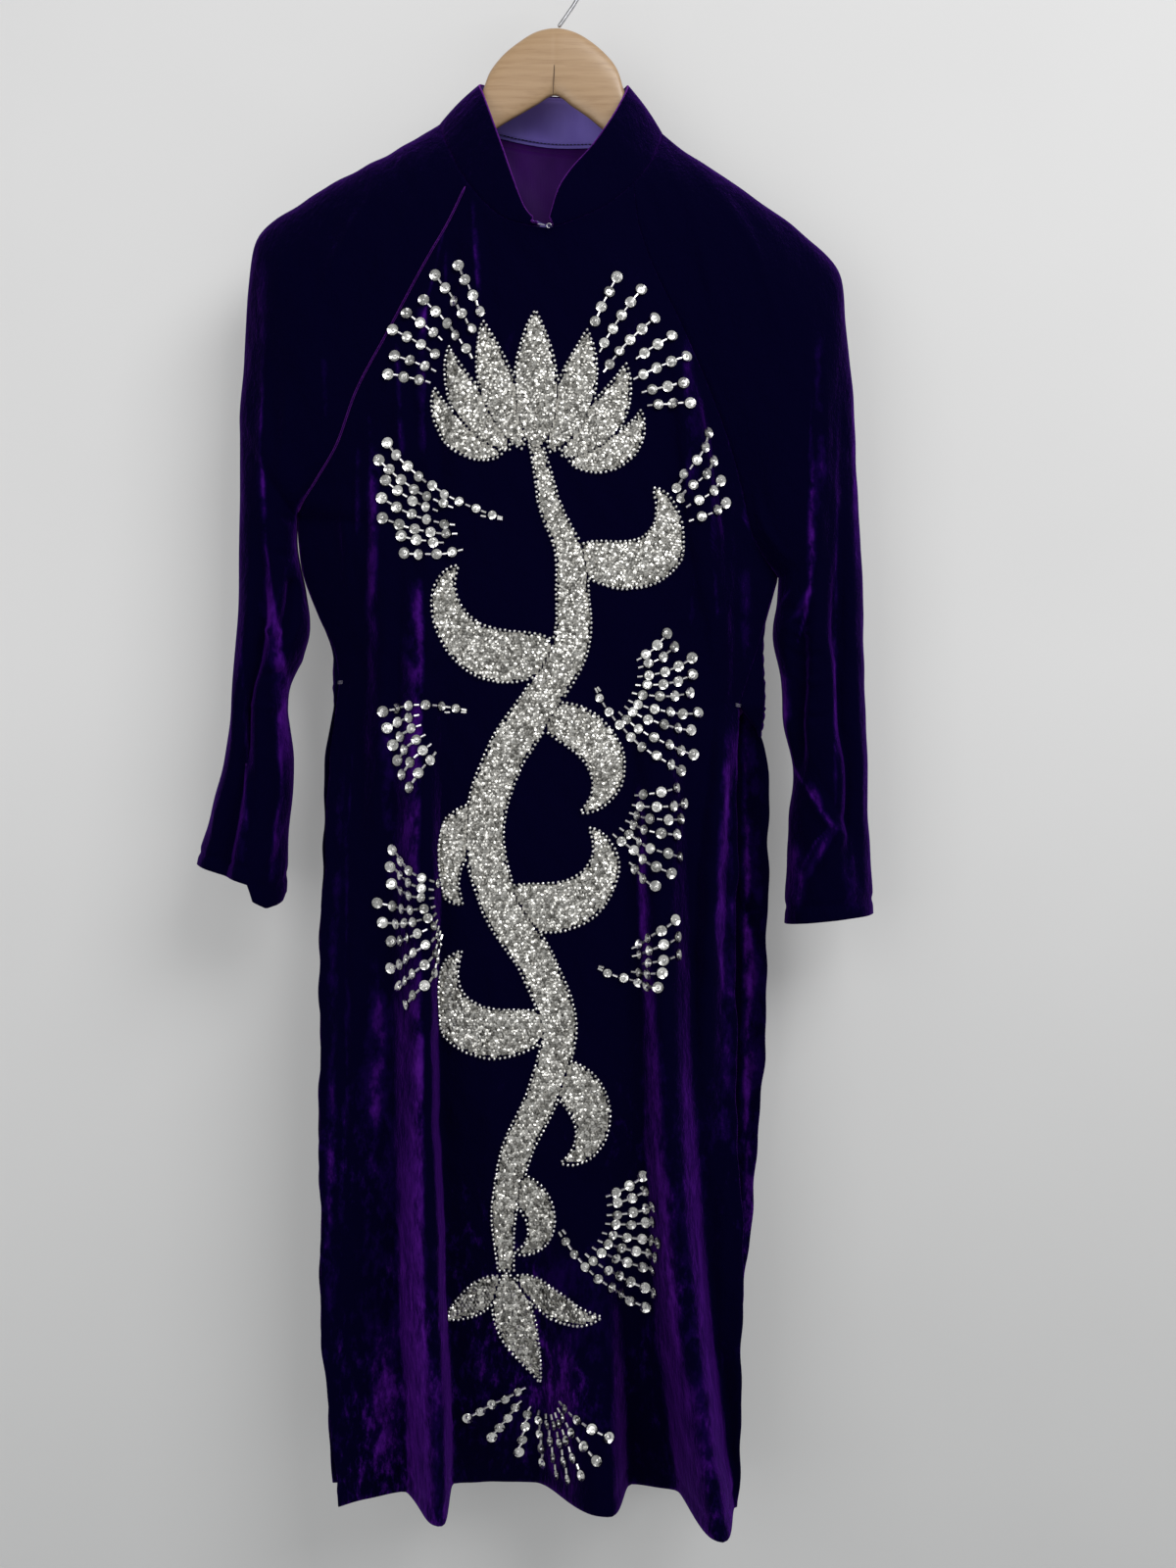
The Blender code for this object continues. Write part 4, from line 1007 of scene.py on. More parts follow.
def clothGrids():
    # The four large pieces: their grids, joined at the seams, and the normals of their walls.
    raglanSteps, sideSteps = clothShape["raglanSteps"], clothShape["sideSteps"]
    count = sleeveShape["columns"] // 2 + 1
    sleeves = {}
    for side in ("right", "left"):
        front, top, back = (neckRows[side + part] for part in ("Front", "Shoulder", "Back"))
        neck = np.concatenate([neckCurve(front, top, count), neckCurve(top, back, count)[1:]])
        tables = (sleeveShape[side + part] for part in ("Shoulder", "Tube", "Folds"))
        sleeves[side] = sleeveGrid(*tables, neck)
    sideSeam = tableCurve(panelShape["sideSeam"], sideSteps)
    panels = {}
    foot = len(collarShape["rows"])
    for name, seamColumn, folds, side, neckEnds in (
        ("front", 0, frontFolds, -1, (neckRows["rightFront"], neckRows["leftFront"] - foot)),
        ("back", -1, backFolds, 1, (neckRows["rightBack"], neckRows["leftBack"])),
    ):
        slit = tableCurve(panelShape[name + "Slit"], clothShape["skirtSteps"])[1:]
        edges = []
        for sleeve, part in (("right", slice(0, 3)), ("left", slice(3, 6))):
            raglan = sleeves[sleeve][:raglanSteps, seamColumn]
            edges.append(np.concatenate([raglan, sideSeam[:, part], slit[:, part]]))
        columns = panelShape[name + "Columns"]
        panels[name] = panelGrid(*edges, folds, side, columns, neckCurve(*neckEnds, columns + 1))
    grids = {
        "front": panels["front"],
        "back": panels["back"][:, ::-1].copy(),
        "right": sleeves["right"][:, ::-1].copy(),
        "left": sleeves["left"],
    }
    raglan = slice(0, raglanSteps)
    sides = slice(raglanSteps, raglanSteps + sideSteps + 1)
    seams = (
        ("front", 0, "right", -1, raglan),
        ("front", -1, "left", 0, raglan),
        ("back", -1, "right", 0, raglan),
        ("back", 0, "left", -1, raglan),
        ("front", 0, "back", -1, sides),
        ("front", -1, "back", 0, sides),
    )
    closed = {"right": raglanSteps, "left": raglanSteps}

    # One part of the wearer's right cuff hangs lower, fading out up the sleeve's front.
    grid, fadeShare = grids["right"], sleeveShape["cuffDropShare"]
    along = np.clip((np.arange(len(grid)) - raglanSteps) / sleeveShape["tubeSteps"], 0, 1)[:, None]
    dropX, drop = np.array(sleeveShape["rightCuffDrop"], float).T
    isFront = smoothStep(-gridNormals(grid, raglanSteps)[..., 1] * 3)
    hang = np.interp(grid[..., 0] / mm, dropX, drop) * mm * isFront
    grid[..., 2] -= hang * smoothStep((along - 1 + fadeShare) / fadeShare)

    # Creases and ripples move the cloth along its normals, and fade out at the seams.
    marks = {
        "front": ((frontCreases, frontGlow, -1),),
        "back": ((backCreases, backGlow, 1),),
        "right": (
            (rightSleeveFront, rightGlow, -1),
            (mirrored(sleeveBackCreases, 2), mirrored(sleeveBackGlow, 3), 1),
        ),
        "left": ((leftSleeveFront, leftGlow, -1), (sleeveBackCreases, sleeveBackGlow, 1)),
    }
    paintedSheenBands = {}
    for seed, (name, grid) in enumerate(grids.items()):
        normals = gridNormals(grid, closed.get(name))
        height = sum(softRipple(grid, tall * mm, long, seed + k) for tall, long, k in clothShape["ripples"])
        # the bands give each point a painted highlight strength for the velvet's colour
        glow = 0
        for creases, bands, facing in marks[name]:
            height += creaseHeight(grid, normals, creases, facing)
            glow = glow + bandGlow(grid, normals, bands, facing)
        paintedSheenBands[name] = np.clip(glow, 0, 1.2)
        down = runningLength(grid.mean(axis=1))
        up = (down[-1] - down) / mm - clothShape["hemUp"]
        height -= (clothShape["hemGroove"] * mm * np.exp(-((up / clothShape["hemWidth"]) ** 2)))[:, None]
        share = np.linspace(0, 1, grid.shape[1])
        joined = closed.get(name, raglanSteps + sideSteps)
        edge = smoothStep(np.minimum(share, 1 - share) / clothShape["seamFade"])[None, :]
        loosening = smoothStep((np.arange(grid.shape[0]) - joined) / clothShape["looseningRows"])[:, None]
        fromNeck = smoothStep(down / (clothShape["neckFade"] * mm))[:, None]
        if name in closed:
            height[joined:, -1] = height[joined:, 0]
        grid += normals * (height * np.maximum(edge, loosening) * fromNeck)[..., None]
        if name in closed:
            grid[joined:, -1] = grid[joined:, 0]
    gap = clothShape["seamGap"] * mm
    for first, firstEdge, second, secondEdge, rows in seams:
        trimEdge(grids[first], rows, firstEdge, gap / 2)
        trimEdge(grids[second], rows, secondEdge, gap / 2)
    for panel in ("front", "back"):
        for edge in (0, -1):
            trimEdge(grids[panel], slice(raglanSteps, raglanSteps + 1), edge, gap)
    normals = {name: gridNormals(grid, closed.get(name)) for name, grid in grids.items()}
    for first, firstEdge, second, secondEdge, rows in seams:
        joinNormals(normals[first][rows, firstEdge], normals[second][rows, secondEdge])
    return grids, normals, paintedSheenBands


grids, clothNormals, paintedSheenBands = clothGrids()
wall = clothShape["wall"] * mm
sleeveStart = clothShape["raglanSteps"]
slitRow = sleeveStart + clothShape["sideSteps"]
for part, node in (
    ("front", "front_panel"),
    ("back", "back_panel"),
    ("right", "right_sleeve"),
    ("left", "left_sleeve"),
):
    isSleeve = part in ("right", "left")
    piece = clothPiece(
        part + ("SleeveCloth" if isSleeve else "Cloth"),
        grids[part],
        clothNormals[part],
        wall,
        [velvet, purpleSatin],
        sleeveStart if isSleeve else None,
        paintedSheenBands[part],
        None if isSleeve else (slitRow - 6, clothShape["turnedIn"]),
    )
    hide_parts(node)
print("cloth ready")


# The collar

def layerPiece(name, grid, layerWall, material):
    # A thin layer with one material on both of its faces.
    return clothPiece(name, grid, gridNormals(grid), layerWall * mm, [material, material])


def collarPieces():
    # The stand between its foot and its top edge, bowed out a little in the middle.
    shape = collarShape
    places = np.linspace(0, len(shape["rows"]) - 1, shape["columns"] + 1)
    table = splineThrough(np.arange(len(shape["rows"])), shape["rows"], places) * mm
    rise = np.linspace(0, 1, shape["steps"] + 1)[:, None, None]
    outer = table[:, :3] + (table[:, 3:] - table[:, :3]) * rise
    outer = outer + gridNormals(outer) * np.sin(rise * math.pi) * shape["outwardBow"] * mm
    normals = gridNormals(outer)
    collar = clothPiece("collarCloth", outer, normals, wall, [velvet, violetSatin])
    lined = (outer - normals * (clothShape["wall"] + shape["liningGap"]) * mm)[1:-1, 2:-2]
    lining = layerPiece("collarLiningCloth", lined, shape["liningWall"], violetSatin)
    middle = outer - normals * wall / 2
    path = np.concatenate([middle[1:-1, 0], middle[-1], middle[1:-1, -1][::-1]])
    # the rolled top edge wears the velvet's lit copy, a painted highlight
    roll = tubePiece("collarEdge", [path], shape["edgeRadius"], 10, litEdgeVelvet)
    return collar, lining, roll, outer, normals


collarCloth, collarLiningCloth, collarEdge, collarOuter, collarNormals = collarPieces()
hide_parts("collar")
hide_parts("collar_lining")

cornerShape = {"row": 4, "behind": 2.6, "tall": 8.5, "shorter": 3.0, "below": 4.5, "sag": 1.5, "wall": 0.6}


def cornerPiece():
    # A corner of the stand's facing that turns up behind the foot of the V, sagging in the middle. It wears
    # a darker copy of the violet facing satin: painted shade.
    shape = cornerShape
    share = np.linspace(0, 1, 15)
    left, right = collarOuter[shape["row"], -1], collarOuter[shape["row"], 0]
    middle = right + (left - right) * share[:, None] + np.array([0, shape["behind"], 0]) * mm
    rise = np.linspace(0, 1, 6)[:, None, None]
    tall = (shape["tall"] - shape["shorter"] * share)[:, None] * mm
    grid = middle[None] + rise * tall * np.array([0, 0.25, 1.0]) - np.array([0, 0, shape["below"]]) * mm
    grid[..., 2] -= np.sin(share * math.pi)[None] * shape["sag"] * mm
    return layerPiece("cornerFacing", grid[::-1], shape["wall"], shadedCornerSatin)


neckLiningShape = {"long": 155, "fromSeams": 14, "wall": 0.8}


def neckLiningPiece():
    # The back's points moved in past its wall, from just below the collar's seam.
    shape, back = neckLiningShape, grids["back"]
    rows = int(np.argmax(runningLength(back.mean(axis=1)) > shape["long"] * mm))
    inner = back - gridNormals(back) * (clothShape["wall"] + clothShape["layerGap"]) * mm
    patch = inner[1:rows, shape["fromSeams"] : -shape["fromSeams"]]
    return layerPiece("neckLiningCloth", patch, shape["wall"], purpleSatin)


stitchShape = {"pitch": 3.0, "long": 2.2, "radius": 0.42, "inside": 1.3, "fromEnds": 20}


def liningStitches():
    # Short dashes along the foot of the collar's lining.
    shape = stitchShape
    path = collarOuter[1] - collarNormals[1] * (clothShape["wall"] + shape["inside"]) * mm
    lengths = runningLength(path)
    starts = np.arange(lengths[shape["fromEnds"]], lengths[-shape["fromEnds"]], shape["pitch"] * mm)
    dashes = [alongLine(path, lengths, np.linspace(a, a + shape["long"] * mm, 4)) for a in starts]
    return tubePiece("liningStitches", dashes, shape["radius"], 6, purpleThread)


liningStitches()
neckLiningCloth = neckLiningPiece()
cornerFacing = cornerPiece()
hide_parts("neck_lining")
print("collar ready")


# The seams' edges

trimShape = {"pipingRadius": 0.85, "pipingOut": 0.2, "tackLength": 5, "tackRadius": 0.12, "tackPitch": 0.7}


def seamTrims():
    # The opening's rolled edge along the wearer's right raglan seam, from collar to armpit, and the
    # four threads of a tack at the top of each slit.
    shape = trimShape
    front, normals = grids["front"], clothNormals["front"]
    path = (front + normals * shape["pipingOut"] * mm)[1 : sleeveStart - 1, 0]
    # the piping wears the velvet's lit copy, a painted highlight
    piping = tubePiece("openingEdge", [path], shape["pipingRadius"], 10, litEdgeVelvet)
    tacks = []
    for column, beside in ((0, 4), (-1, -5)):
        spot = front[slitRow, column] + normals[slitRow, column] * 0.3 * mm
        across = unit(front[slitRow, beside] - front[slitRow, column])
        down = np.array([0, 0, -1.0])
        for k in range(4):
            start = spot + down * (k * shape["tackPitch"] - 1) * mm - across * 1.5 * mm
            end = start + across * shape["tackLength"] * mm - down * 0.5 * mm
            tacks.append(np.linspace(start, end, 4))
    tubePiece("slitTacks", tacks, shape["tackRadius"], 6, whiteThread)
    return piping


openingEdge = seamTrims()

catchShape = {
    "row": 3,
    "out": 1.2,
    "eyeRadius": 1.7,
    "eyeShift": (-3.0, 0, -1.5),
    "hook": ((0, 0, 0), (3.5, -0.4, -0.5), (5.5, -0.8, -1.0)),
    "wireRadius": 0.35,
}


def neckCatch():
    # A small wire hook on one front end of the collar and the eye on the other.
    shape = catchShape
    out = np.array([0, -shape["out"], 0]) * mm
    left, right = collarOuter[shape["row"], -1] + out, collarOuter[shape["row"], 0] + out
    turn = np.linspace(0, 1.6 * math.pi, 24)[:, None]
    ring = np.concatenate([np.cos(turn), 0 * turn, np.sin(turn)], axis=1) * shape["eyeRadius"] * mm
    eye = left + ring + np.array(shape["eyeShift"]) * mm
    hook = right + np.array(shape["hook"]) * mm
    tubePiece("neckHookAndEye", [eye, evenPoints(hook, 8)], shape["wireRadius"], 8, chrome)


neckCatch()
print("trims ready")


# The silver work down the front

ornamentShape = {
    # Leaves and petals: start across and down in mm, heading in degrees (0 down, 90 to the wearer's
    # left), length, turn along it, half width, place of the widest point, bluntness of its ends
    "leaves": (
        (-30, 176, 262, 78, -78, 12, 0.42, 0.8),
        (22, 176, 98, 78, 78, 12, 0.42, 0.8),
        (-24, 172, 232, 92, -46, 14, 0.44, 0.8),
        (16, 172, 128, 92, 46, 14, 0.44, 0.8),
        (-15, 170, 205, 100, -20, 15, 0.44, 0.8),
        (7, 170, 155, 100, 20, 15, 0.44, 0.8),
        (-4, 172, 180, 108, 0, 17, 0.44, 0.8),
        (30, 242, 66, 124, 172, 19, 0.34, 0.7),
        (14, 318, 296, 134, -160, 20, 0.34, 0.7),
        (4, 372, 84, 112, -150, 17, 0.34, 0.7),
        (-34, 446, 300, 88, 118, 16, 0.34, 0.7),
        (-20, 508, 62, 128, 170, 19, 0.34, 0.7),
        (22, 604, 298, 132, -165, 19, 0.34, 0.7),
        (22, 642, 70, 104, -150, 16, 0.34, 0.7),
        (-10, 728, 66, 84, -150, 13, 0.34, 0.7),
        (-18, 806, 322, 58, -40, 11, 0.42, 0.8),
        (-2, 806, 44, 76, 56, 12, 0.42, 0.8),
        (-11, 804, 4, 92, 0, 16, 0.42, 0.8),
    ),
    # The stem: across, down, half width
    "stem": (
        (-4, 166, 5), (8, 204, 8), (26, 250, 11.5), (28, 304, 13.5), (6, 358, 14.5), (-24, 408, 15),
        (-36, 460, 15), (-22, 514, 14.5), (10, 562, 14), (30, 612, 13.5), (22, 662, 12.5), (2, 708, 11.5),
        (-10, 756, 9.5), (-11, 802, 6),
    ),
    # Sprays: across, down, first and last heading, rows, beads in the first and last row, bend
    "sprays": (
        (-30, 150, 186, 262, 9, 9, 6, 26),
        (24, 150, 174, 98, 9, 9, 6, -26),
        (-14, 226, 262, 322, 9, 9, 6, -44),
        (72, 216, 62, 128, 7, 4, 7, 34),
        (40, 338, 30, 104, 9, 8, 5, 44),
        (-40, 372, 262, 304, 6, 6, 6, 26),
        (30, 424, 30, 92, 9, 8, 6, 36),
        (-50, 506, 262, 336, 9, 6, 8, -36),
        (46, 560, 66, 104, 5, 5, 6, 26),
        (20, 748, 30, 92, 9, 9, 6, 40),
        (-8, 896, -66, 66, 9, 5, 5, 0),
    ),
    # Half widths and pitches in mm, tilts in radians
    "groundPitch": 2.2,
    "groundLift": 0.45,
    "sequinSize": 1.6,
    "sequinPitch": 2.8,
    "sequinScatter": 0.22,
    "sequinTilt": 0.34,
    "pailletteSize": 4.0,
    "paillettePitch": 12.7,
    "pailletteTilt": 0.14,
    "pailletteLift": 0.9,
    "paillettesApart": 7.2,
    "beadSize": 1.30,
    "beadPitch": 3.75,
    "beadTilt": 0.1,
    "seedSize": 1.0,
    "centreBeadSize": 1.1,
    "centreBeadTilt": 0.05,
    # Radius and height of each shape's rings, as shares of its size
    "sequinRings": ((0.14, 0.16), (1.0, 0.0)),
    "cupRings": ((0.15, 0.05), (0.55, 0.02), (0.80, 0.16), (1.0, 0.26), (1.0, 0.18)),
    "ballRings": ((0.0, 0.0), (0.62, 0.15), (1.0, 0.75), (0.72, 1.45), (0.30, 1.75), (0.0, 1.80)),
    "tubeRings": ((0.3, -2.2), (1.0, -2.0), (1.0, 2.0), (0.3, 2.2)),
}


def discShape(rings, sides):
    # Rings of (radius, height) joined by four-cornered faces.
    angle = np.linspace(0, 2 * math.pi, sides, endpoint=False)
    points = np.array([(r * math.cos(a), r * math.sin(a), h) for r, h in rings for a in angle])
    return points, cellFaces(ringed(np.arange(len(points)).reshape(-1, sides))).reshape(-1, 4)


def flatOn(direction, out):
    # The direction less its share along out, one unit long.
    return unit(direction - out * np.sum(direction * out, axis=1, keepdims=True))


def frontFrame(spots):
    # Place, right, up and outward directions on the front, for spots in mm across from its middle and
    # mm down from its neckline.
    across, down = spots.T
    grid, normals = grids["front"], clothNormals["front"]
    middle = grid[:, grid.shape[1] // 2]
    rowAt = np.interp(down * mm, runningLength(middle), np.arange(len(middle)))
    widths = np.linalg.norm(np.diff(grid, axis=1), axis=2).sum(axis=1)
    width = np.interp(rowAt, np.arange(len(widths)), widths)
    columnAt = (0.5 + across * mm / width) * (grid.shape[1] - 1)
    row = np.clip(rowAt.astype(int), 0, grid.shape[0] - 2)
    column = np.clip(columnAt.astype(int), 0, grid.shape[1] - 2)
    v, u = (rowAt - row)[:, None], (columnAt - column)[:, None]

    def blend(field):
        upper = field[row, column] * (1 - u) + field[row, column + 1] * u
        lower = field[row + 1, column] * (1 - u) + field[row + 1, column + 1] * u
        return upper * (1 - v) + lower * v

    out = unit(blend(normals))
    right = flatOn(grid[row, column + 1] - grid[row, column], out)
    return blend(grid), right, np.cross(out, right), out


def spun(right, up, cos, sin):
    # Both directions turned about the one that faces out, by an angle's cosine and sine.
    cos, sin = cos[:, None], sin[:, None]
    return right * cos + up * sin, up * cos - right * sin


def tilted(spots, amount):
    # Turned at random about the outward direction, then tipped at random by about the amount.
    place, right, up, out = spots
    angle = dice.uniform(0, 2 * math.pi, len(place))
    right, up = spun(right, up, np.cos(angle), np.sin(angle))
    tips = dice.normal(0, amount, (len(place), 2))
    out = unit(out + right * tips[:, :1] + up * tips[:, 1:])
    right = flatOn(right, out)
    return place, right, np.cross(out, right), out


def lifted(spots, height):
    # The same places further out by a height in mm.
    place, right, up, out = spots
    return place + out * height * mm, right, up, out


def ribbonOutline(path, halfWidths):
    # The path moved sideways by its half width on either side, as one closed line.
    ahead = unit(np.gradient(path, axis=0))
    aside = np.stack([ahead[:, 1], -ahead[:, 0]], axis=1) * halfWidths[:, None]
    return np.concatenate([path + aside, (path - aside)[::-1]])


def leafOutline(leaf):
    # Heading grows evenly along the leaf; half width is that of a sine bent to peak early.
    across, down, heading, length, turn, half, peak, sharp = leaf
    share = np.linspace(0, 1, 60)
    angles = np.radians(heading + turn * share**1.5)
    steps = np.stack([np.sin(angles), np.cos(angles)], axis=1) * length / (len(share) - 1)
    path = np.array([across, down]) + np.concatenate([[[0, 0]], np.cumsum(steps[1:], axis=0)])
    width = half * np.sin(math.pi * share ** (math.log(0.5) / math.log(peak))) ** sharp
    return ribbonOutline(path, width)


def insideOutline(points, outline):
    # Even-odd rule, and the distance to the nearest edge.
    start, end = outline, np.roll(outline, -1, axis=0)
    step = end - start
    x, y = points[:, :1], points[:, 1:]
    spans = (start[:, 1] > y) != (end[:, 1] > y)
    rise = np.where(np.abs(step[:, 1]) < 1e-9, 1e-9, step[:, 1])
    crossing = start[:, 0] + (y - start[:, 1]) / rise * step[:, 0]
    inside = (spans & (x < crossing)).sum(axis=1) % 2 == 1
    reach = (x - start[:, 0]) * step[:, 0] + (y - start[:, 1]) * step[:, 1]
    share = np.clip(reach / np.maximum((step**2).sum(axis=1), 1e-9), 0, 1)
    gap = np.hypot(x - start[:, 0] - share * step[:, 0], y - start[:, 1] - share * step[:, 1])
    return inside, gap.min(axis=1)


def latticeOver(outline, across, down):
    # Rows of evenly spaced points over the outline's reach.
    low, high = outline.min(axis=0), outline.max(axis=0)
    rows = np.meshgrid(np.arange(low[0], high[0], across), np.arange(low[1], high[1], down))
    return np.stack(rows, axis=-1)


def distances(first, second):
    # From each of the first points to each of the second.
    return np.hypot(*(first[:, None] - second[None]).transpose(2, 0, 1))


def keepApart(points, distance):
    # Drops each point that lies nearer than the distance to one before it.
    return ~np.tril(distances(points, points) < distance, -1).any(axis=1)


def sequinsAndBeads(outlines):
    # Sequins on shifted rows fill each outline, and beads follow it where no other outline lies.
    shape, bead, pitch = ornamentShape, ornamentShape["beadSize"], ornamentShape["sequinPitch"]
    fills, edges = [], []
    for k, outline in enumerate(outlines):
        grid = latticeOver(outline, pitch, pitch * 0.87)
        grid[1::2, :, 0] += pitch / 2
        points = grid.reshape(-1, 2)
        points = points + dice.normal(0, shape["sequinScatter"], points.shape)
        inside, gap = insideOutline(points, outline)
        kept = inside & (gap > bead + 0.4)
        for other in outlines[k + 1 :]:
            hidden, away = insideOutline(points, other)
            kept &= ~hidden & (away > bead + 0.3)
        closed = np.concatenate([outline, outline[:1]])
        lengths = runningLength(closed)
        count = max(8, int(lengths[-1] / shape["beadPitch"]))
        beads = alongLine(closed, lengths, np.linspace(0, lengths[-1], count, endpoint=False))
        beads = beads[keepApart(beads, bead * 1.7)]
        for other in outlines[:k] + outlines[k + 1 :]:
            beads = beads[~insideOutline(beads, other)[0]]
        fills.append(points[kept])
        edges.append(beads)
    edge = np.concatenate(edges)
    return np.concatenate(fills), edge[keepApart(edge, bead * 1.6)]


def sprayBeads(outlines):
    # Fans of bent rows: a small bead, then a cupped disc, and so on, clear of the outlines.
    shape = ornamentShape
    big, seeds, sizes, turns, rowOf = [], [], [], [], []
    for across, down, first, last, rows, firstCount, lastCount, bend in shape["sprays"]:
        for row in range(rows):
            part = row / max(rows - 1, 1)
            heading = first + (last - first) * part
            count = round(firstCount + (lastCount - firstCount) * part)
            step = np.arange(count * 2)
            angles = np.radians(heading + bend * (step / (count * 2)) ** 1.2)
            moves = np.stack([np.sin(angles), np.cos(angles)], axis=1) * shape["paillettePitch"] / 2
            path = np.array([across, down]) + np.cumsum(moves, axis=0) + moves[0] * 1.2
            big.append(path[1::2])
            seeds.append(path[0::2])
            rowOf.append(np.full(count, len(big)))
            turns.append(angles[0::2])
            sizes.append(0.80 + 0.30 * step[1::2] / (count * 2))
    big, seeds, sizes, turns, rowOf = map(np.concatenate, (big, seeds, sizes, turns, rowOf))
    keepBig, keepSeed = keepApart(big, shape["paillettesApart"]), np.ones(len(seeds), bool)
    for outline in outlines:
        inside, gap = insideOutline(big, outline)
        keepBig &= ~inside & (gap > shape["pailletteSize"] + 2.2)
        inside, gap = insideOutline(seeds, outline)
        keepSeed &= ~inside & (gap > 4.0)
    fullRows = (np.bincount(rowOf[keepBig], minlength=rowOf.max() + 1) > 2)[rowOf]
    keepBig &= fullRows
    keepSeed &= fullRows & (distances(seeds, big[keepBig]).min(axis=1) < 7.5)
    return big[keepBig], sizes[keepBig], seeds[keepSeed], turns[keepSeed]


def ornamentGround(outlines):
    # One layer of square cells under the sequins, each cell in one outline only.
    pitch = ornamentShape["groundPitch"]
    cells, squares, count = [], [], 0
    for k, outline in enumerate(outlines):
        lattice = latticeOver(outline, pitch, pitch)
        spots = lattice.reshape(-1, 2)
        inside, gap = insideOutline(spots, outline)
        kept = inside & (gap > 0.6)
        for other in outlines[k + 1 :]:
            hidden, away = insideOutline(spots, other)
            kept &= ~(hidden & (away > pitch))
        kept = kept.reshape(lattice.shape[:2])
        cells.append(spots)
        whole = cellFaces(kept).all(axis=-1)
        squares.append(cellFaces(count + np.arange(kept.size).reshape(kept.shape))[whole])
        count += kept.size
    used, squares = np.unique(np.concatenate(squares), return_inverse=True)
    place = lifted(frontFrame(np.concatenate(cells)[used]), ornamentShape["groundLift"])[0]
    meshPiece("ornamentGround", place, squares.reshape(-1, 4), [foilGround])


def makeOrnament():
    # Outlines of the stem and leaves, their sequins and beads, and the sprays, laid on the front.
    shape = ornamentShape
    stemRows = np.array(shape["stem"], float)
    knots = runningLength(stemRows[:, :2])
    stem = splineThrough(knots, stemRows, np.linspace(0, knots[-1], 240))
    outlines = [leafOutline(leaf) for leaf in shape["leaves"]]
    outlines.append(ribbonOutline(stem[:, :2], stem[:, 2]))
    fill, edge = sequinsAndBeads(outlines)
    big, sizes, seeds, turns = sprayBeads(outlines)
    ornamentGround(outlines)

    ball = discShape(shape["ballRings"], 8)
    spots = tilted(frontFrame(fill), shape["sequinTilt"])
    spots = lifted(spots, dice.uniform(0.5, 1.3, (len(fill), 1)))
    scatterPiece("sequinFill", discShape(shape["sequinRings"], 8), spots, shape["sequinSize"], sequinSilver)
    spots = lifted(tilted(frontFrame(big), shape["pailletteTilt"]), shape["pailletteLift"])
    sizes = sizes * shape["pailletteSize"]
    scatterPiece("paillettes", discShape(shape["cupRings"], 12), spots, sizes, pailletteSilver)
    spots = tilted(frontFrame(edge), shape["beadTilt"])
    scatterPiece("outlineBeads", ball, spots, shape["beadSize"], beadSilver)
    place, right, up, out = lifted(frontFrame(seeds), shape["seedSize"])
    right, up = spun(right, up, np.sin(turns), -np.cos(turns))
    tube = discShape(shape["tubeRings"], 6)
    scatterPiece("seedBeads", tube, (place, up, out, right), shape["seedSize"], beadSilver)
    spots = lifted(tilted(frontFrame(big), shape["centreBeadTilt"]), shape["pailletteLift"])
    scatterPiece("pailletteBeads", ball, spots, shape["centreBeadSize"], beadSilver)
    print("ornament:", len(fill), "sequins", len(big), "paillettes", len(edge), "beads", len(seeds), "seeds")


makeOrnament()


# The hanger

hangerShape = {
    # x, top z, under z
    "rows": (
        (-128, -160, -186), (-108, -150, -175), (-90, -140, -165), (-74, -126, -156), (-63, -114, -149),
        (-57, -107, -145), (-51, -92, -140), (-41, -79, -133), (-29, -69, -126), (-15, -60.5, -118),
        (0, -57.5, -110), (14, -60, -119), (27, -67, -128), (40, -78, -139), (49, -90, -146),
        (55, -108, -150), (61, -118, -154), (70, -131, -160), (84, -149, -169), (102, -160.5, -181),
        (122, -173, -196),
    ),
    # x, height, extra drop below the sleeve's inside
    "arms": (
        (140, 26, 0), (156, 25, 0), (172, 24, 0), (188, 23, 0), (200, 22, 0), (208, 19, 1.5), (214, 12, 4),
    ),
    "clearance": 0.5,
    "halfThickness": 6.0,
    "roundness": 2.6,
    "sections": 340,
    "sides": 48,
    "jointWidth": 0.9,
    "jointDepth": 0.15,
    # the dark line where the two halves meet, up from the underside and thinning out
    "jointLine": ((-1.2, -6.1, -111.5), (-1.0, -6.15, -104), (-0.6, -6.15, -96), (-0.3, -6.1, -88)),
    "jointLineRadius": 0.28,
    "wireRadius": 1.6,
    "hookRadius": 22.3,
    "stem": ((2.7, -56.4), (5.5, -52.5), (10.0, -46.0), (14.5, -39.5)),
    "hookStart": -38,
    "hookEnd": 205,
}


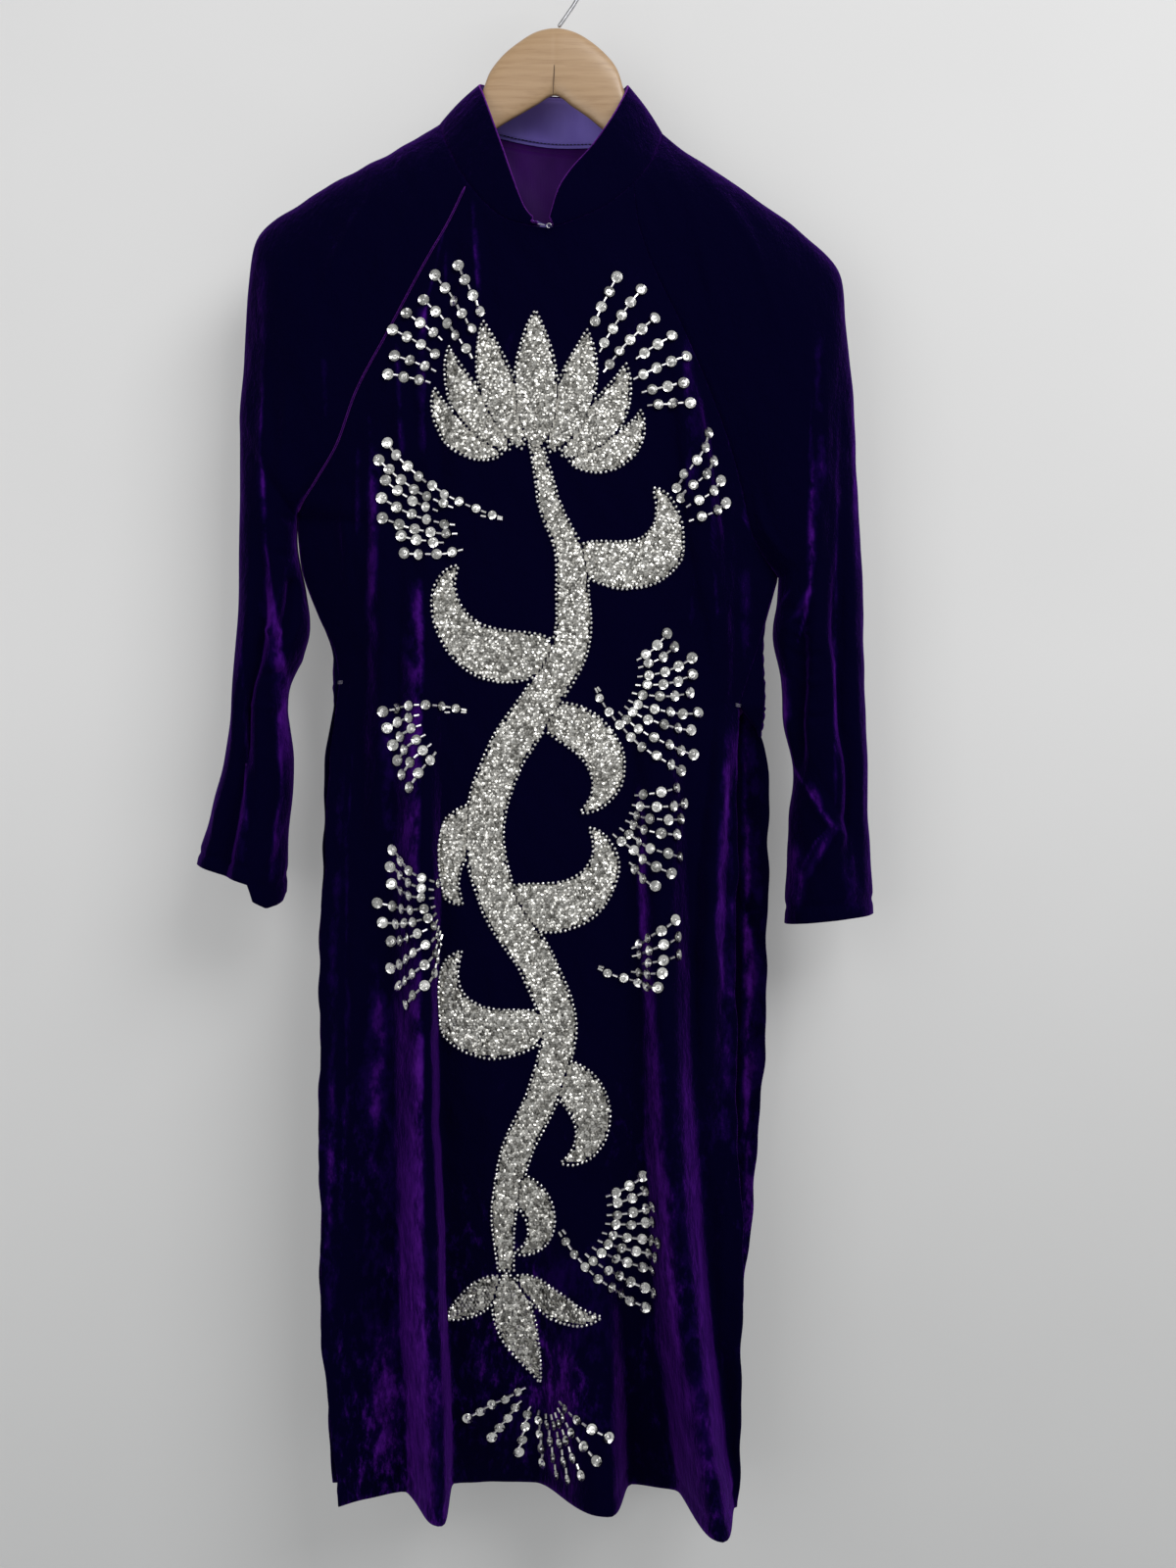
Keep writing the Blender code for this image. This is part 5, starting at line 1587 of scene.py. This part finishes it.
def hangerBar():
    # Rounded slab sections from arm to arm, with a fine crease where its two halves join.
    shape = hangerShape
    rows = np.array(shape["rows"], float) * mm
    arms = []
    for name, side in (("right", -1), ("left", 1)):
        ridge = grids[name][: sleeveStart + 1, sleeveShape["columns"] // 2]
        arm = []
        for x, height, drop in shape["arms"]:
            x = side * x * mm
            z, beyond = (np.interp(side * x + step * mm, side * ridge[:, 0], ridge[:, 2]) for step in (0, 1))
            slope = (z - beyond) / (1 * mm)
            drop = (clothShape["wall"] + shape["clearance"]) * mm * math.hypot(1, slope) + drop * mm
            arm.append((x, z - drop, z - drop - height * mm))
        arms.append(arm[::-1] if side < 0 else arm)
    kept = rows[(rows[:, 0] > arms[0][-1][0] + 8 * mm) & (rows[:, 0] < arms[1][0][0] - 8 * mm)]
    table = np.concatenate([arms[0], kept, arms[1]])
    table = splineThrough(np.arange(len(table)), table, np.linspace(0, len(table) - 1, shape["sections"]))
    turns = np.linspace(0, 2 * math.pi, shape["sides"], endpoint=False)
    power = 2 / shape["roundness"]
    across, upward = (np.sign(wave) * np.abs(wave) ** power for wave in (np.cos(turns), np.sin(turns)))
    across = across * shape["halfThickness"] * mm
    x, top, under = table[:, 0:1], table[:, 1:2], table[:, 2:3]
    joint = np.exp(-((x / (shape["jointWidth"] * mm)) ** 2)) * shape["jointDepth"] * mm
    depth = across[None, :] - np.sign(across)[None, :] * joint
    height = (top + under) / 2 + upward[None, :] * (top - under) / 2
    rings = np.stack([np.broadcast_to(x, depth.shape), depth, height], axis=2)
    faces = tubeFaces(np.arange(depth.size).reshape(depth.shape))
    return meshPiece("hangerWood", rings.reshape(-1, 3), faces, [paleWood])


def wirePiece():
    # A stem out of the wood, then a circle's arc over the rail.
    shape = hangerShape
    turns = np.radians(np.linspace(shape["hookStart"], shape["hookEnd"], 90))
    radius = shape["hookRadius"] * mm
    height = shape["wireRadius"] * mm - radius + radius * np.sin(turns)
    ring = np.stack([radius * np.cos(turns), 0 * turns, height], axis=1)
    path = np.concatenate([np.array([(x, 0, z) for x, z in shape["stem"]]) * mm, ring])
    lengths = runningLength(path)
    smooth = splineThrough(lengths, path, np.linspace(0, lengths[-1], 130))
    return tubePiece("hangerWire", [smooth], shape["wireRadius"], 18, chrome)


hangerWood, hangerWire = hangerBar(), wirePiece()
jointSpots = evenPoints(np.array(hangerShape["jointLine"]) * mm, 12)
tubePiece("hangerJoint", [jointSpots], hangerShape["jointLineRadius"], 6, jointBrown)
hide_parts("hanger_arms")
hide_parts("hanger_hook")
print("hanger ready")


# Floor, wall, light and camera

stageLook = {
    "wallBack": 0.075,
    "floor": -1.62,
    "wallColour": (0.50, 0.50, 0.50),
    # the wall's colour at its foot, darker: painted shade
    "shadedWallFoot": (0.375, 0.378, 0.378),
    "wallGlow": 0.40,
    "wallHalf": 2.6,
    "wallTop": 1.6,
    "floorFront": -3.4,
    # place, target, size and power
    "keyLight": ((1.35, -2.0, 1.15), (0.25, 0, -0.1), (1.8, 1.4), 57),
    "fillLight": ((-1.2, -2.2, -0.35), (-0.1, 0, -0.75), (1.4, 1.8), 15),
    "worldStrength": 0.38,
}


def makeStage():
    look = stageLook
    material, tree, shader = newMaterial("paleWall")
    # the wall darker towards its foot: painted shade
    rise = mapped(tree, objectHeight(tree), -1.35, -0.55)
    shade = ramp(tree, rise, ((0.0, look["shadedWallFoot"]), (1.0, look["wallColour"])))
    cloudy = ramp(tree, objectNoise(tree, 3, 2), ((0.3, (0.97, 0.97, 0.97)), (0.7, (1, 1, 1))))
    colour = multiplied(tree, 1.0, shade, cloudy)
    # a little light of the wall's own keeps the shadows beside the cloth pale, as a bright room does
    glow = {"Emission Color": colour, "Emission Strength": look["wallGlow"]}
    feed(tree, shader, {"Base Color": colour, "Roughness": 0.95, **glow})
    inputs = {
        0: addNode(tree, "NewGeometry", {}, "Backfacing"),
        1: shader.outputs["BSDF"],
        2: addNode(tree, "BsdfTransparent", {}, "BSDF"),
    }
    feed(tree, tree.nodes["Material Output"], {"Surface": addNode(tree, "MixShader", inputs, "Shader")})
    x, y, z = look["wallHalf"], look["wallBack"], look["floor"]
    top, front = look["wallTop"], look["floorFront"]
    corners = {
        "wall": ((-x, y, z), (x, y, z), (x, y, top), (-x, y, top)),
        "floor": ((-x, front, z), (x, front, z), (x, y, z), (-x, y, z)),
    }
    for name, points in corners.items():
        addObject(name, newMesh(name, points, [(0, 1, 2, 3)], [material]))


def addLight(name, place, target, size, power):
    # A soft rectangular lamp that looks at its target.
    light = bpy.data.lights.new(name, "AREA")
    light.shape = "RECTANGLE"
    light.size, light.size_y = size
    light.energy = power
    lamp = addObject(name, light)
    lamp.location = place
    away = np.array(place, float) - np.array(target, float)
    flat = math.hypot(away[0], away[1])
    lamp.rotation_euler = (math.atan2(flat, away[2]), 0, math.atan2(away[0], -away[1]))


cameraShape = {"place": (0.026, -1.45, -0.651), "pixel": 0.77, "rows": 1600, "sensor": 36}


def makeCamera():
    # The lens that shows so many mm a pixel at the hanger's plane.
    shape = cameraShape
    look = bpy.data.cameras.new("camera")
    look.sensor_fit = "VERTICAL"
    look.sensor_height = shape["sensor"]
    look.lens = shape["sensor"] * -shape["place"][1] / (shape["pixel"] * mm * shape["rows"])
    look.clip_start = 0.02
    camera = addObject("camera", look)
    camera.location = shape["place"]
    camera.rotation_euler = (math.pi / 2, 0, 0)
    bpy.context.scene.camera = camera


makeStage()
for name in ("keyLight", "fillLight"):
    addLight(name, *stageLook[name])
world = bpy.context.scene.world or bpy.data.worlds.new("world")
bpy.context.scene.world = world
world.use_nodes = True
background = {"Color": (1, 1, 1, 1), "Strength": stageLook["worldStrength"]}
feed(world.node_tree, world.node_tree.nodes["Background"], background)
bpy.context.scene.view_settings.view_transform = "Standard"
makeCamera()
print("stage ready")
